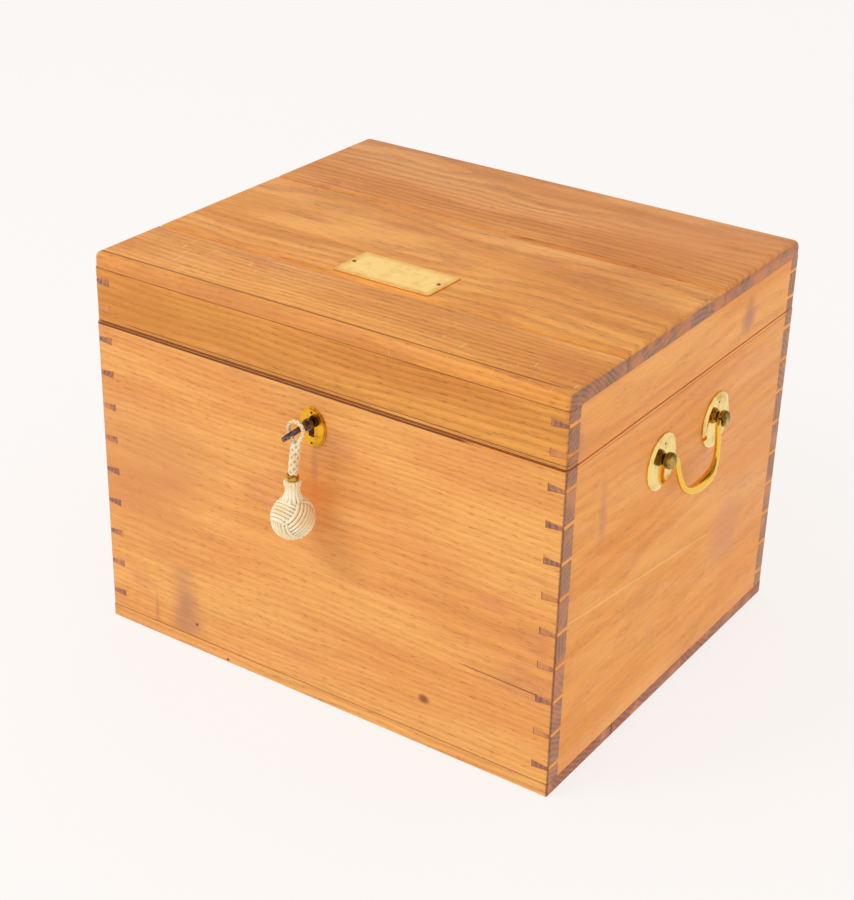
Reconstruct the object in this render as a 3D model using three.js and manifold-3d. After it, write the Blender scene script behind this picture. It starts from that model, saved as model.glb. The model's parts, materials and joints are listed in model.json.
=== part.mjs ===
// A boxed marine chronometer: an oak case with a hinged lid and bail handles, which carries
// a gimballed brass bowl with its dial, hands and spring-driven movement.
// Millimetres. The origin is the centre of the underside, the front faces -Y, +Z is up.

import * as THREE from "three";
import { mergeVertices } from "three/addons/utils/BufferGeometryUtils.js";
import Module from "manifold-3d";

const wasm = await Module();
wasm.setup();

// Driving sizes of the oak case
const caseWidth = 300;
const caseDepth = 254;
const caseHeight = 231;
const boardThickness = 10;
const baseThickness = 8;
const topThickness = 8.6;
const lidHeight = 41;
const seamGap = 0.8;

// Clearances shared by all pieces
const fitGap = 0.3;
const jointGap = 0.15;
const cutOverrun = 1;
const weldDistance = 0.0001;

// Dovetails: narrow pins of the side boards show on the front and the back
const bodyPinCount = 9;
const lidPinCount = 2;
const pinOuterHeight = 2.2;
const pinInnerHeight = 4.2;

// Board joints of the top and of the base, measured from the centre
const topFrontJoint = -73.3;
const topRearJoint = 32.4;
const baseFrontJoint = -59.4;
const baseRearJoint = 22.7;

// Name plate on the lid
const plateLength = 62;
const plateWidth = 31;
const plateThickness = 0.8;
const plateCentreX = -0.5;
const plateCentreY = -54.4;
const plateCorner = 1;

// Lock, key and escutcheon
const keyX = -0.8;
const keyBelowSeam = 17.4;
const escutcheonWidth = 17.2;
const escutcheonHeight = 22.6;
const escutcheonThickness = 1.5;
const escutcheonDrop = 3;
const escutcheonBevel = 0.7;
const keyShankRadius = 2.3;
const keyShankInside = 17.5;
const keyCollarRadius = 3.2;
const keyCollarLength = 2.2;
const keyCollarStand = 2;
const keyBitReach = 6.5;
const keyBitThickness = 2.4;
const keyBitWidth = 5;
const keyholeSlotWidth = 3.6;
const keyholeSlotDrop = 8;
const bowMiddleRadius = 6.2;
const bowBarWidth = 2.6;
const bowBarThickness = 2.4;
const bowCentreStand = 15.7;
const bowTurnDegrees = 43;
const lockLeft = 30;
const lockRight = 30;
const lockHeight = 38;
const lockDepth = 12;
const lockWall = 1.5;
const lockTopWall = 2;
const boltHeight = 7;
const boltThickness = 4;
const boltBodyLength = 24;
const boltTongueLength = 5.5;
const boltTongueSize = 3.4;
const boltLeft = 19;
const boltRise = 5.5;
const railThickness = 2;
const railLength = 17;
const stapleWidth = 7;
const stapleThickness = 3;
const stapleDepth = 15;
const stapleSetOff = 12;
const stapleWindow = 5;
const linkPlateLength = 56;
const linkPlateThickness = 1.6;
const linkFootHeight = 9.2;

// Fob: a loop of cord on the key's bow and a globe knot
const fobAlongBow = 5;
const cordDiameter = 2.1;
const fobLean = 2.35;
const knotRadius = 12.3;
const knotNeckRadius = 4;
const knotFlareRadius = 4.9;
const knotNeckHeight = 9.8;
const knotFlareHeight = 2.4;

// Bail handles, one on each side
const handleCentreY = 3.7;
const handlePostSpacing = 62;
const roseBelowSeam = 35;
const roseRadius = 16;
const roseThickness = 1.8;
const roseRim = 2.6;
const roseEdge = 0.8;
const postAboveRose = 2;
const postShankRadius = 3;
const postHeadRadius = 4.6;
const postHeadStart = 2.2;
const postHeadEnd = 7.9;
const postHeadRise = 1.2;
const postHeadCollar = 0.6;
const postHeadFall = 1.3;
const postHeadCrown = 0.7;
const postWidthShares = { collar: 0.82, shoulder: 0.86, crown: 0.55 };
const postInside = 6;
const pivotStand = 5.1;
const bailBoreRadius = 1.5;
const bailPinRadius = 1.15;
const bailTiltDegrees = 9.4;
const bailArmRadius = 1.7;
const bailGripRadius = 3.6;
const bailGripFlatShare = 0.72;
const bailDrop = 26.5;
const bailShoulder = 6.6;
const bailPinDepth = 3.4;
const bailCornerRun = 1.4;
const bailCornerLean = 0.4;
const bailCornerDrop = 2.4;
const bailBend = 2.2;
const bailBendShare = 0.84;
const bailBottomShare = 0.62;
const bailGripLengthShare = 0.17;
const bailGripEdge = 4;

// Hinges at the back
const hingeLength = 50;
const hingeInset = 62;
const leafThickness = 1.6;
const leafReach = 9;
const knuckleRadius = 2.9;
const knuckleStand = 3.2;
const knuckleCount = 5;
const hingePinRadius = 1.3;

// Gimbal
const gimbalBelowSeam = 40;
const ringSideSpace = 14;
const bearerThickness = 10;
const bearerRise = 15;
const bracketThickness = 2.5;
const bracketHalfWidth = 14;
const bracketAbove = 11;
const bracketBelow = 24;
const bracketBossRadius = 6;
const bracketBossLength = 9;
const ringClearance = 10;
const ringWidth = 6;
const ringHalfHeight = 5;
const ringPinRadius = 2.2;
const ringPinSpace = 4.5;
const pivotScrewRadius = 2;
const pivotScrewHead = 3.8;
const pivotScrewHeadLength = 2.2;
const pivotTipDepth = 2.6;

// Bowl, bezel, glass and dial, heights measured from the gimbal axes
const bowlRadius = 62;
const bowlWall = 2;
const bowlTop = 7.4;
const bowlBottom = -58;
const bowlLedgeTop = -3;
const bowlLedgeThickness = 3;
const bowlLedgeWidth = 8;
const bowlCorner = 6;
const bowlCornerShare = 0.29;
const bowlBossRadius = 4;
const bowlBossStand = 4;
const bezelOverhang = 3;
const bezelCover = 6;
const bezelTop = 14;
const bezelSkirtBottom = 5;
const bezelLip = 1.2;
const bezelSlope = 2.4;
const glassSeatWidth = 2.6;
const glassEdge = 2;
const glassCrown = 1.2;
const glassCrownShares = [[0.7, 0.51], [0.4, 0.84], [0, 1]];
const dialClearance = 3;
const dialThickness = 1.2;

// Movement between its plates
const topPlateThickness = 2.5;
const lowerPlateClearance = 6;
const lowerPlateThickness = 2.5;
const plateSpace = 25;
const pillarRadius = 3;
const pillarInset = 6;
const arborRadius = 1.1;
const pipeWall = 0.9;
const endShake = 0.4;
const barrelHeight = 15.5;
const fuseeTurns = 5;
const fuseeTurnPitch = 2.4;
const fuseeGroove = 0.9;
const fuseeGrooveShare = 0.3;
const fuseeCurveShare = 0.8;
const fuseeWheelThickness = 1.6;
const wheelThickness = 1;
const wheelRim = 2;
const toothHeight = 1;
const toothShares = [[0, 0], [0.35, 1], [0.65, 1]];
const wheelSpokeCount = 4;
const wheelHubRadius = 2.6;
const spokeHalfWidth = 0.8;
const centreToothCount = 30;
const secondsToothCount = 20;
const balanceRim = 1.8;
const balanceThickness = 2.4;
const balanceWeightRadius = 2;

// The layout of the movement, as shares of the radius of its lower plate
const barrelPlaceShares = [-0.48, -0.17];
const barrelSizeShare = 0.37;
const fuseePlaceShares = [0.43, -0.22];
const fuseeLargeShare = 0.325;
const fuseeSmallShare = 0.163;
const centreWheelShare = 0.304;
const secondsPlaceShare = -0.61;
const secondsWheelShare = 0.187;
const balancePlaceShare = 0.53;
const balanceSizeShare = 0.26;
const upDownPlaceShare = 0.62;

// Hands above the dial, with their lengths as shares of its radius
const handLengthShares = { hour: 0.53, minute: 0.77, seconds: 0.21, upDown: 0.15 };
const hourHandWidth = 2.2;
const minuteHandWidth = 1.8;
const secondsHandTail = 3.4;
const smallHandWidth = 0.9;
const upDownHandTail = 2.2;
const upDownBoreRadius = 0.55;
const handThickness = 0.7;
const handHubRadius = 3;
const smallHubRadius = 1.7;
const handSpace = 0.8;
const spadeShare = 0.16;
const spadeHeightShares = { root: 0.62, barb: 0.76, neck: 0.88 };
const spadeWidthShares = { root: 0.36, neck: 0.24 };
const hourDegrees = 305;
const minuteDegrees = 60;
const secondsDegrees = 135;
const upDownDegrees = 320;

// Materials
const finish = (color, roughness, metalness) =>
  new THREE.MeshStandardMaterial({ color, roughness, metalness });
const oak = finish("#c98a48", 0.55, 0);
const brass = finish("#c9a24a", 0.3, 1);
const steel = finish("#4a3f45", 0.4, 1);
const blueSteel = finish("#28356a", 0.3, 1);
const silver = finish("#dcdad0", 0.4, 0.8);
const crystal = new THREE.MeshStandardMaterial({
  color: "#eef4f4", roughness: 0.05, metalness: 0, transparent: true, opacity: 0.3,
});
const cotton = finish("#e9dcc0", 0.9, 0);

// Turning a three.js geometry into a closed solid and back
function solid(geometry) {
  const bare = geometry.index ? geometry.toNonIndexed() : geometry.clone();
  bare.deleteAttribute("normal");
  bare.deleteAttribute("uv");
  const joined = mergeVertices(bare, weldDistance);
  return new wasm.Manifold(new wasm.Mesh({
    numProp: 3,
    vertProperties: new Float32Array(joined.attributes.position.array),
    triVerts: new Uint32Array(joined.index.array),
  }));
}

const part = new THREE.Group();
part.name = "marine_chronometer";

function piece(name, body, material) {
  const data = body.getMesh();
  const geometry = new THREE.BufferGeometry();
  const positions = new Float32Array(data.numVert * 3);
  for (let vertex = 0; vertex < data.numVert; vertex += 1) {
    for (let axis = 0; axis < 3; axis += 1) {
      positions[vertex * 3 + axis] = data.vertProperties[vertex * data.numProp + axis];
    }
  }
  geometry.setAttribute("position", new THREE.BufferAttribute(positions, 3));
  geometry.setIndex(new THREE.BufferAttribute(new Uint32Array(data.triVerts), 1));
  geometry.computeVertexNormals();
  const mesh = new THREE.Mesh(geometry, material);
  mesh.name = name;
  part.add(mesh);
}

// Shapes that many pieces share
function box(x0, x1, y0, y1, z0, z1) {
  const geometry = new THREE.BoxGeometry(Math.abs(x1 - x0), Math.abs(y1 - y0), Math.abs(z1 - z0));
  geometry.translate((x0 + x1) / 2, (y0 + y1) / 2, (z0 + z1) / 2);
  return solid(geometry);
}

function rod(axis, centre, radius, from, to, sides = 16) {
  const geometry = new THREE.CylinderGeometry(radius, radius, Math.abs(to - from), sides);
  const middle = (from + to) / 2;
  if (axis === "x") {
    geometry.rotateZ(-Math.PI / 2);
    geometry.translate(middle, centre[0], centre[1]);
  } else if (axis === "y") {
    geometry.translate(centre[0], middle, centre[1]);
  } else {
    geometry.rotateX(Math.PI / 2);
    geometry.translate(centre[0], centre[1], middle);
  }
  return solid(geometry);
}

// A turned body: the profile is a list of [radius, height] pairs, up a vertical axis
function turned(profile, x, y, z, sides = 40) {
  const points = profile.map(([radius, height]) => new THREE.Vector2(radius, height));
  const geometry = new THREE.LatheGeometry(points, sides);
  geometry.rotateX(Math.PI / 2);
  geometry.translate(x, y, z);
  return outward(geometry);
}

// The same about an axis along X, with heights counted away from the case on side +1 or -1
function turnedAlongX(profile, side, x, y, z, sides = 18) {
  const points = profile.map(([radius, height]) => new THREE.Vector2(radius, height));
  const geometry = new THREE.LatheGeometry(points, sides);
  geometry.rotateZ(side > 0 ? -Math.PI / 2 : Math.PI / 2);
  geometry.translate(x, y, z);
  return outward(geometry);
}

// Swaps the winding of a geometry whose faces point in
function outward(geometry) {
  const flat = geometry.index ? geometry.toNonIndexed() : geometry;
  const array = flat.attributes.position.array;
  let volume = 0;
  const corner = [new THREE.Vector3(), new THREE.Vector3(), new THREE.Vector3()];
  for (let start = 0; start < array.length; start += 9) {
    corner.forEach((point, index) => point.fromArray(array, start + index * 3));
    volume += corner[0].dot(corner[1].clone().cross(corner[2]));
  }
  if (volume < 0) {
    for (let start = 0; start < array.length; start += 9) {
      const second = array.slice(start + 3, start + 6);
      array.copyWithin(start + 3, start + 6, start + 9);
      array.set(second, start + 6);
    }
  }
  return solid(flat);
}

// A flat outline in the XZ plane given depth along Y, from y0 to y1
function upright(shape, y0, y1, steps = 12) {
  const geometry = new THREE.ExtrudeGeometry(shape, {
    depth: y1 - y0, bevelEnabled: false, curveSegments: steps,
  });
  geometry.rotateX(Math.PI / 2);
  geometry.translate(0, y1, 0);
  return outward(geometry);
}

// A flat outline in the XY plane given height along Z, from z0 to z1
function level(shape, z0, z1, steps = 12) {
  const geometry = new THREE.ExtrudeGeometry(shape, {
    depth: z1 - z0, bevelEnabled: false, curveSegments: steps,
  });
  geometry.translate(0, 0, z0);
  return outward(geometry);
}

function outline(points) {
  return new THREE.Shape(points.map(([a, b]) => new THREE.Vector2(a, b)));
}

// A tube along a curve whose section may swell: halfWidth(t) runs across, halfDepth(t) along up
function swept(curve, up, halfWidth, halfDepth, rings, sides) {
  const positions = [];
  const indices = [];
  for (let ring = 0; ring <= rings; ring += 1) {
    const t = ring / rings;
    const centre = curve.getPointAt(t);
    const tangent = curve.getTangentAt(t);
    const across = tangent.clone().cross(up).normalize();
    for (let side = 0; side < sides; side += 1) {
      const angle = (side / sides) * 2 * Math.PI;
      const point = centre.clone()
        .addScaledVector(across, Math.cos(angle) * halfWidth(t))
        .addScaledVector(up, Math.sin(angle) * halfDepth(t));
      positions.push(point.x, point.y, point.z);
    }
  }
  for (let ring = 0; ring < rings; ring += 1) {
    for (let side = 0; side < sides; side += 1) {
      const a = ring * sides + side;
      const b = ring * sides + ((side + 1) % sides);
      indices.push(a, b, a + sides, b, b + sides, a + sides);
    }
  }
  for (let side = 1; side < sides - 1; side += 1) {
    const end = rings * sides;
    indices.push(0, side + 1, side, end, end + side, end + side + 1);
  }
  const geometry = new THREE.BufferGeometry();
  geometry.setAttribute("position", new THREE.Float32BufferAttribute(positions, 3));
  geometry.setIndex(indices);
  return outward(geometry);
}

// Places worked out from the driving sizes
const seamHeight = caseHeight - lidHeight;
const keyZ = seamHeight - keyBelowSeam;
const roseCentreZ = seamHeight - roseBelowSeam;
const postAxisZ = roseCentreZ + postAboveRose;
const gimbalZ = seamHeight - gimbalBelowSeam;
const halfWidth = caseWidth / 2;
const halfDepth = caseDepth / 2;
const innerWidth = halfWidth - boardThickness;
const innerDepth = halfDepth - boardThickness;
const lidBottom = seamHeight + seamGap;
const lidTopUnder = caseHeight - topThickness;
const frontFace = -halfDepth;
const frontInner = -innerDepth;

// Walls of the case and of the lid: boards joined by through dovetails at the corners
function pinOutline(side, z, gap) {
  const outer = side * (halfWidth + (gap > 0 ? cutOverrun : 0));
  const inner = side * (innerWidth - gap);
  const slope = (pinInnerHeight - pinOuterHeight) / 2 / boardThickness;
  const outerHalf = pinOuterHeight / 2 - (gap > 0 ? slope * cutOverrun : 0) + gap;
  const innerHalf = pinInnerHeight / 2 + gap;
  return outline([[inner, z - innerHalf], [outer, z - outerHalf],
    [outer, z + outerHalf], [inner, z + innerHalf]]);
}

function pinHeights(z0, z1, count) {
  const pitch = (z1 - z0) / count;
  return Array.from({ length: count }, (unused, index) => z0 + (index + 0.5) * pitch);
}

function tailBoard(facing, z0, z1, count) {
  const outer = facing * halfDepth;
  const inner = facing * innerDepth;
  let board = box(-halfWidth, halfWidth, outer, inner, z0, z1);
  for (const side of [-1, 1]) {
    for (const z of pinHeights(z0, z1, count)) {
      const y0 = Math.min(outer, inner) - cutOverrun;
      const y1 = Math.max(outer, inner) + cutOverrun;
      board = board.subtract(upright(pinOutline(side, z, jointGap), y0, y1));
    }
  }
  return board;
}

function pinBoard(side, z0, z1, count) {
  let board = box(side * innerWidth, side * halfWidth, -innerDepth, innerDepth, z0, z1);
  for (const z of pinHeights(z0, z1, count)) {
    board = board.add(upright(pinOutline(side, z, 0), -halfDepth, -innerDepth + cutOverrun));
    board = board.add(upright(pinOutline(side, z, 0), innerDepth - cutOverrun, halfDepth));
  }
  return board;
}

// The side boards of the case are drilled for the posts of the handles
function drilledSide(side) {
  let board = pinBoard(side, baseThickness, seamHeight, bodyPinCount);
  for (const end of [-1, 1]) {
    const floor = side * (halfWidth - postInside - fitGap);
    const mouth = side * (halfWidth + cutOverrun);
    board = board.subtract(rod("x", [handleCentreY + end * handlePostSpacing / 2, postAxisZ],
      postShankRadius + fitGap, floor, mouth));
  }
  return board;
}

// Keyhole: a round eye with a slot below it, cut from y0 to y1
function keyhole(radius, slotWidth, y0, y1) {
  const eye = rod("y", [keyX, keyZ], radius, y0, y1);
  const slot = box(keyX - slotWidth / 2, keyX + slotWidth / 2, y0, y1,
    keyZ - keyholeSlotDrop, keyZ);
  return eye.add(slot);
}

// Hinge places
const hingeCentres = [-halfWidth + hingeInset, halfWidth - hingeInset];
const hingeAxisY = halfDepth + knuckleStand;
const hingeAxisZ = seamHeight + seamGap / 2;

function leafSeat(centre, z0, z1) {
  return box(centre - hingeLength / 2, centre + hingeLength / 2,
    halfDepth - leafReach, halfDepth + cutOverrun, z0, z1);
}

let caseBack = tailBoard(1, baseThickness, seamHeight, bodyPinCount);
let lidBack = tailBoard(1, lidBottom, lidTopUnder, lidPinCount);
for (const centre of hingeCentres) {
  caseBack = caseBack.subtract(
    leafSeat(centre, seamHeight - leafThickness, seamHeight + cutOverrun));
  lidBack = lidBack.subtract(leafSeat(centre, lidBottom - cutOverrun, lidBottom + leafThickness));
}
const caseFront = tailBoard(-1, baseThickness, seamHeight, bodyPinCount)
  .subtract(keyhole(keyShankRadius + fitGap, keyholeSlotWidth,
    frontFace - cutOverrun, frontInner + cutOverrun));

piece("case_front", caseFront, oak);
piece("case_back", caseBack, oak);
piece("case_left_side", drilledSide(-1), oak);
piece("case_right_side", drilledSide(1), oak);
piece("lid_front", tailBoard(-1, lidBottom, lidTopUnder, lidPinCount), oak);
piece("lid_back", lidBack, oak);
piece("lid_left_side", pinBoard(-1, lidBottom, lidTopUnder, lidPinCount), oak);
piece("lid_right_side", pinBoard(1, lidBottom, lidTopUnder, lidPinCount), oak);

// Base and top, each of three boards glued edge to edge
const widthwise = (y0, y1, z0, z1) => box(-halfWidth, halfWidth, y0, y1, z0, z1);
piece("base_front_board", widthwise(-halfDepth, baseFrontJoint, 0, baseThickness), oak);
piece("base_middle_board", widthwise(baseFrontJoint, baseRearJoint, 0, baseThickness), oak);
piece("base_rear_board", widthwise(baseRearJoint, halfDepth, 0, baseThickness), oak);
piece("lid_top_front_board", widthwise(-halfDepth, topFrontJoint, lidTopUnder, caseHeight), oak);
piece("lid_top_middle_board", widthwise(topFrontJoint, topRearJoint, lidTopUnder, caseHeight), oak);
piece("lid_top_rear_board", widthwise(topRearJoint, halfDepth, lidTopUnder, caseHeight), oak);

// Name plate with clipped corners
const plateX0 = plateCentreX - plateLength / 2;
const plateX1 = plateCentreX + plateLength / 2;
const plateY0 = plateCentreY - plateWidth / 2;
const plateY1 = plateCentreY + plateWidth / 2;
const namePlate = level(outline([
  [plateX0 + plateCorner, plateY0], [plateX1 - plateCorner, plateY0],
  [plateX1, plateY0 + plateCorner], [plateX1, plateY1 - plateCorner],
  [plateX1 - plateCorner, plateY1], [plateX0 + plateCorner, plateY1],
  [plateX0, plateY1 - plateCorner], [plateX0, plateY0 + plateCorner],
]), caseHeight, caseHeight + plateThickness);
piece("name_plate", namePlate, brass);

// Butt hinges: leaves let into the meeting edges, knuckles behind the case
const segment = hingeLength / knuckleCount;

function hingeLeaf(centre, onLid) {
  const z0 = onLid ? lidBottom : seamHeight - leafThickness;
  const z1 = onLid ? lidBottom + leafThickness : seamHeight;
  const left = centre - hingeLength / 2;
  let leaf = box(left, left + hingeLength, halfDepth - leafReach, halfDepth, z0, z1);
  for (let index = onLid ? 1 : 0; index < knuckleCount; index += 2) {
    const x0 = left + index * segment + fitGap / 2;
    const x1 = left + (index + 1) * segment - fitGap / 2;
    leaf = leaf.add(box(x0, x1, halfDepth - leafReach, hingeAxisY, z0, z1));
    leaf = leaf.add(rod("x", [hingeAxisY, hingeAxisZ], knuckleRadius, x0, x1, 12));
  }
  return leaf.subtract(rod("x", [hingeAxisY, hingeAxisZ], hingePinRadius + fitGap,
    left - cutOverrun, left + hingeLength + cutOverrun, 8));
}

for (const [index, centre] of hingeCentres.entries()) {
  const place = index === 0 ? "left" : "right";
  piece(`hinge_case_leaf_${place}`, hingeLeaf(centre, false), brass);
  piece(`hinge_lid_leaf_${place}`, hingeLeaf(centre, true), brass);
  piece(`hinge_pin_${place}`, rod("x", [hingeAxisY, hingeAxisZ], hingePinRadius,
    centre - hingeLength / 2, centre + hingeLength / 2, 16), steel);
}

// Escutcheon: a bevelled oval plate pinned over the keyhole
function oval(width, height, centreX, centreZ) {
  const shape = new THREE.Shape();
  shape.absellipse(centreX, centreZ, width / 2, height / 2, 0, 2 * Math.PI);
  return shape;
}

const escutcheonCentreZ = keyZ - escutcheonDrop;
const escutcheonPlate = upright(oval(escutcheonWidth, escutcheonHeight, keyX, escutcheonCentreZ),
  frontFace - escutcheonThickness + escutcheonBevel, frontFace, 14);
const escutcheonFace = upright(
  oval(escutcheonWidth - 2 * escutcheonBevel, escutcheonHeight - 2 * escutcheonBevel,
    keyX, escutcheonCentreZ),
  frontFace - escutcheonThickness, frontFace, 14);
piece("escutcheon", escutcheonPlate.add(escutcheonFace).subtract(
  keyhole(keyShankRadius + fitGap, keyholeSlotWidth,
    frontFace - escutcheonThickness - cutOverrun, frontFace + cutOverrun)), brass);

// Chest lock behind the keyhole: case, sliding bolt, and the link plate with its staple
const lockX0 = keyX - lockLeft;
const lockX1 = keyX + lockRight;
const lockZ0 = seamHeight - lockHeight;
const lockY0 = frontInner;
const lockY1 = frontInner + lockDepth;
const lockRoomY0 = lockY0 + lockWall;
const lockRoomY1 = lockY1 - lockWall;
const lockRoomMiddle = (lockRoomY0 + lockRoomY1) / 2;
const boltZ0 = keyZ + boltRise;
const boltZ1 = boltZ0 + boltHeight;
const boltMiddleZ = (boltZ0 + boltZ1) / 2;
const boltX0 = keyX - boltLeft;
const boltX1 = boltX0 + boltBodyLength;
const stapleX0 = keyX + stapleSetOff;
const stapleX1 = stapleX0 + stapleThickness;

const lockRoom = box(lockX0 + lockWall, lockX1 - lockWall, lockRoomY0, lockRoomY1,
  lockZ0 + lockWall, seamHeight - lockTopWall);
const boltRail = box(lockX0 + lockWall / 2, lockX0 + lockWall + railLength,
  lockY0 + lockWall / 2, lockY1 - lockWall / 2, boltZ0 - fitGap - railThickness, boltZ0 - fitGap);
const stapleSlot = box(stapleX0 - 2 * fitGap, stapleX1 + 2 * fitGap, lockRoomY0, lockRoomY1,
  seamHeight - lockTopWall - cutOverrun, seamHeight + cutOverrun);
piece("lock_case", box(lockX0, lockX1, lockY0, lockY1, lockZ0, seamHeight)
  .subtract(lockRoom).add(boltRail).subtract(stapleSlot)
  .subtract(keyhole(keyShankRadius + fitGap, keyholeSlotWidth,
    lockY0 - cutOverrun, lockRoomY0 + cutOverrun)), brass);

piece("lock_bolt", box(boltX0, boltX1, lockRoomMiddle - boltThickness / 2,
  lockRoomMiddle + boltThickness / 2, boltZ0, boltZ1)
  .add(box(boltX1 - cutOverrun, boltX1 + boltTongueLength,
    lockRoomMiddle - boltTongueSize / 2, lockRoomMiddle + boltTongueSize / 2,
    boltMiddleZ - boltTongueSize / 2, boltMiddleZ + boltTongueSize / 2)), steel);

const linkX0 = stapleX0 + stapleThickness / 2 - linkPlateLength / 2;
const linkPlate = box(linkX0, linkX0 + linkPlateLength, lockY0 + fitGap, lockY1,
  lidBottom, lidBottom + linkPlateThickness);
const linkFoot = box(linkX0, linkX0 + linkPlateLength, frontInner,
  frontInner + linkPlateThickness, lidBottom, lidBottom + linkFootHeight);
const staple = box(stapleX0, stapleX1, lockRoomMiddle - stapleWidth / 2,
  lockRoomMiddle + stapleWidth / 2, lidBottom - stapleDepth, lidBottom + linkPlateThickness / 2);
const stapleHole = box(stapleX0 - cutOverrun, stapleX1 + cutOverrun,
  lockRoomMiddle - stapleWindow / 2, lockRoomMiddle + stapleWindow / 2,
  boltMiddleZ - stapleWindow / 2, boltMiddleZ + stapleWindow / 2);
piece("link_plate", linkPlate.add(linkFoot).add(staple).subtract(stapleHole), brass);

// Key: shank with a collar, a bit, and a flat ring bow whose plane is turned with the key
const bowCentreY = frontFace - bowCentreStand;
const bowTurn = THREE.MathUtils.degToRad(bowTurnDegrees);

function keyTurned(body) {
  return body.translate(-keyX, 0, -keyZ).rotate(0, -bowTurnDegrees, 0).translate(keyX, 0, keyZ);
}

const bowOutline = new THREE.Shape();
bowOutline.absarc(keyX, bowCentreY, bowMiddleRadius + bowBarWidth / 2, 0, 2 * Math.PI);
const bowHole = new THREE.Path();
bowHole.absarc(keyX, bowCentreY, bowMiddleRadius - bowBarWidth / 2, 0, 2 * Math.PI);
bowOutline.holes.push(bowHole);
const bow = level(bowOutline, keyZ - bowBarThickness / 2, keyZ + bowBarThickness / 2, 16);
const shankStart = bowCentreY + bowMiddleRadius;
const shankEnd = frontFace + keyShankInside;
const shank = rod("y", [keyX, keyZ], keyShankRadius, shankStart, shankEnd, 20);
const collar = rod("y", [keyX, keyZ], keyCollarRadius,
  frontFace - escutcheonThickness - keyCollarStand - keyCollarLength,
  frontFace - escutcheonThickness - keyCollarStand, 20);
const bit = box(keyX - keyBitReach, keyX,
  shankEnd - keyBitWidth, shankEnd, keyZ - keyBitThickness / 2, keyZ + keyBitThickness / 2);
piece("key", keyTurned(bow.add(shank).add(collar).add(bit)), steel);

// Fob: the cord loops round the bow's bar and both of its legs run down into the knot
const fobX = keyX + fobAlongBow * Math.cos(bowTurn);
const fobZ = keyZ + fobAlongBow * Math.sin(bowTurn);
const fobY = bowCentreY - Math.sqrt(bowMiddleRadius ** 2 - fobAlongBow ** 2);
const cordRoute = [
  [-3.55, 0, -28.8], [-3.2, 0, -25.2], [-2.8, 0, -21.6], [-2.4, 0, -18], [-2, 0, -14.5],
  [-1.65, 0, -11], [-1.45, 0, -8.2], [-1.6, 0, -6.2], [-2.4, 0, -4.3], [-3.65, 0, -2.1],
  [-4.5, 0, 0.2], [-4.1, 0, 2.6], [-2.5, 0, 4.5], [0.2, 0, 5.3], [2.9, 0, 4.5],
  [4.5, 0, 2.6], [4.9, 0, 0.2], [4, 0, -2.1], [2.7, 0, -4.3], [1.7, 0, -6.2],
  [1.2, 0, -8.2], [0.8, 0, -11], [0.4, 0, -14.5], [0, 0, -18], [-0.4, 0, -21.6],
  [-0.8, 0, -25.2], [-1.15, 0, -28.8],
];
const cordPoints = cordRoute.map(([x, y, z]) => new THREE.Vector3(fobX + x, fobY + y, fobZ + z));
const cordEnd = fobZ + cordRoute[0][2];
const cordCurve = new THREE.CatmullRomCurve3(cordPoints, false, "centripetal");
const cordHalf = () => cordDiameter / 2;
piece("fob_cord", swept(cordCurve, new THREE.Vector3(0, 1, 0), cordHalf, cordHalf, 32, 8), cotton);

const knotTop = cordEnd - fitGap;
const knotCentreDrop = Math.sqrt(knotRadius ** 2 - knotNeckRadius ** 2);
const knotProfile = [];
const neckAngle = Math.asin(knotNeckRadius / knotRadius);
const knotSteps = 11;
for (let step = 0; step <= knotSteps; step += 1) {
  const angle = Math.PI - (Math.PI - neckAngle) * (step / knotSteps);
  knotProfile.push([step === 0 ? 0 : knotRadius * Math.sin(angle), knotRadius * Math.cos(angle)]);
}
knotProfile.push([knotNeckRadius, knotCentreDrop + knotNeckHeight - knotFlareHeight]);
knotProfile.push([knotFlareRadius, knotCentreDrop + knotNeckHeight]);
knotProfile.push([0, knotCentreDrop + knotNeckHeight]);
piece("fob_knot", turned(knotProfile, fobX - fobLean, fobY, knotTop - knotCentreDrop - knotNeckHeight, 20),
  cotton);

// Bail handles: round roses, posts through them, and a bail that swings on pins in the posts
const postHeadProfile = [
  [0, -postInside], [postShankRadius, -postInside], [postShankRadius, postHeadStart],
  [postHeadRadius * postWidthShares.collar, postHeadStart + postHeadCollar],
  [postHeadRadius, postHeadStart + postHeadCollar + postHeadRise],
  [postHeadRadius, postHeadEnd - postHeadCrown - postHeadFall],
  [postHeadRadius * postWidthShares.shoulder, postHeadEnd - postHeadCrown],
  [postHeadRadius * postWidthShares.crown, postHeadEnd], [0, postHeadEnd],
];
const roseProfile = [
  [0, 0], [roseRadius, 0], [roseRadius, roseEdge],
  [roseRadius - roseRim, roseThickness], [0, roseThickness],
];

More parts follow.
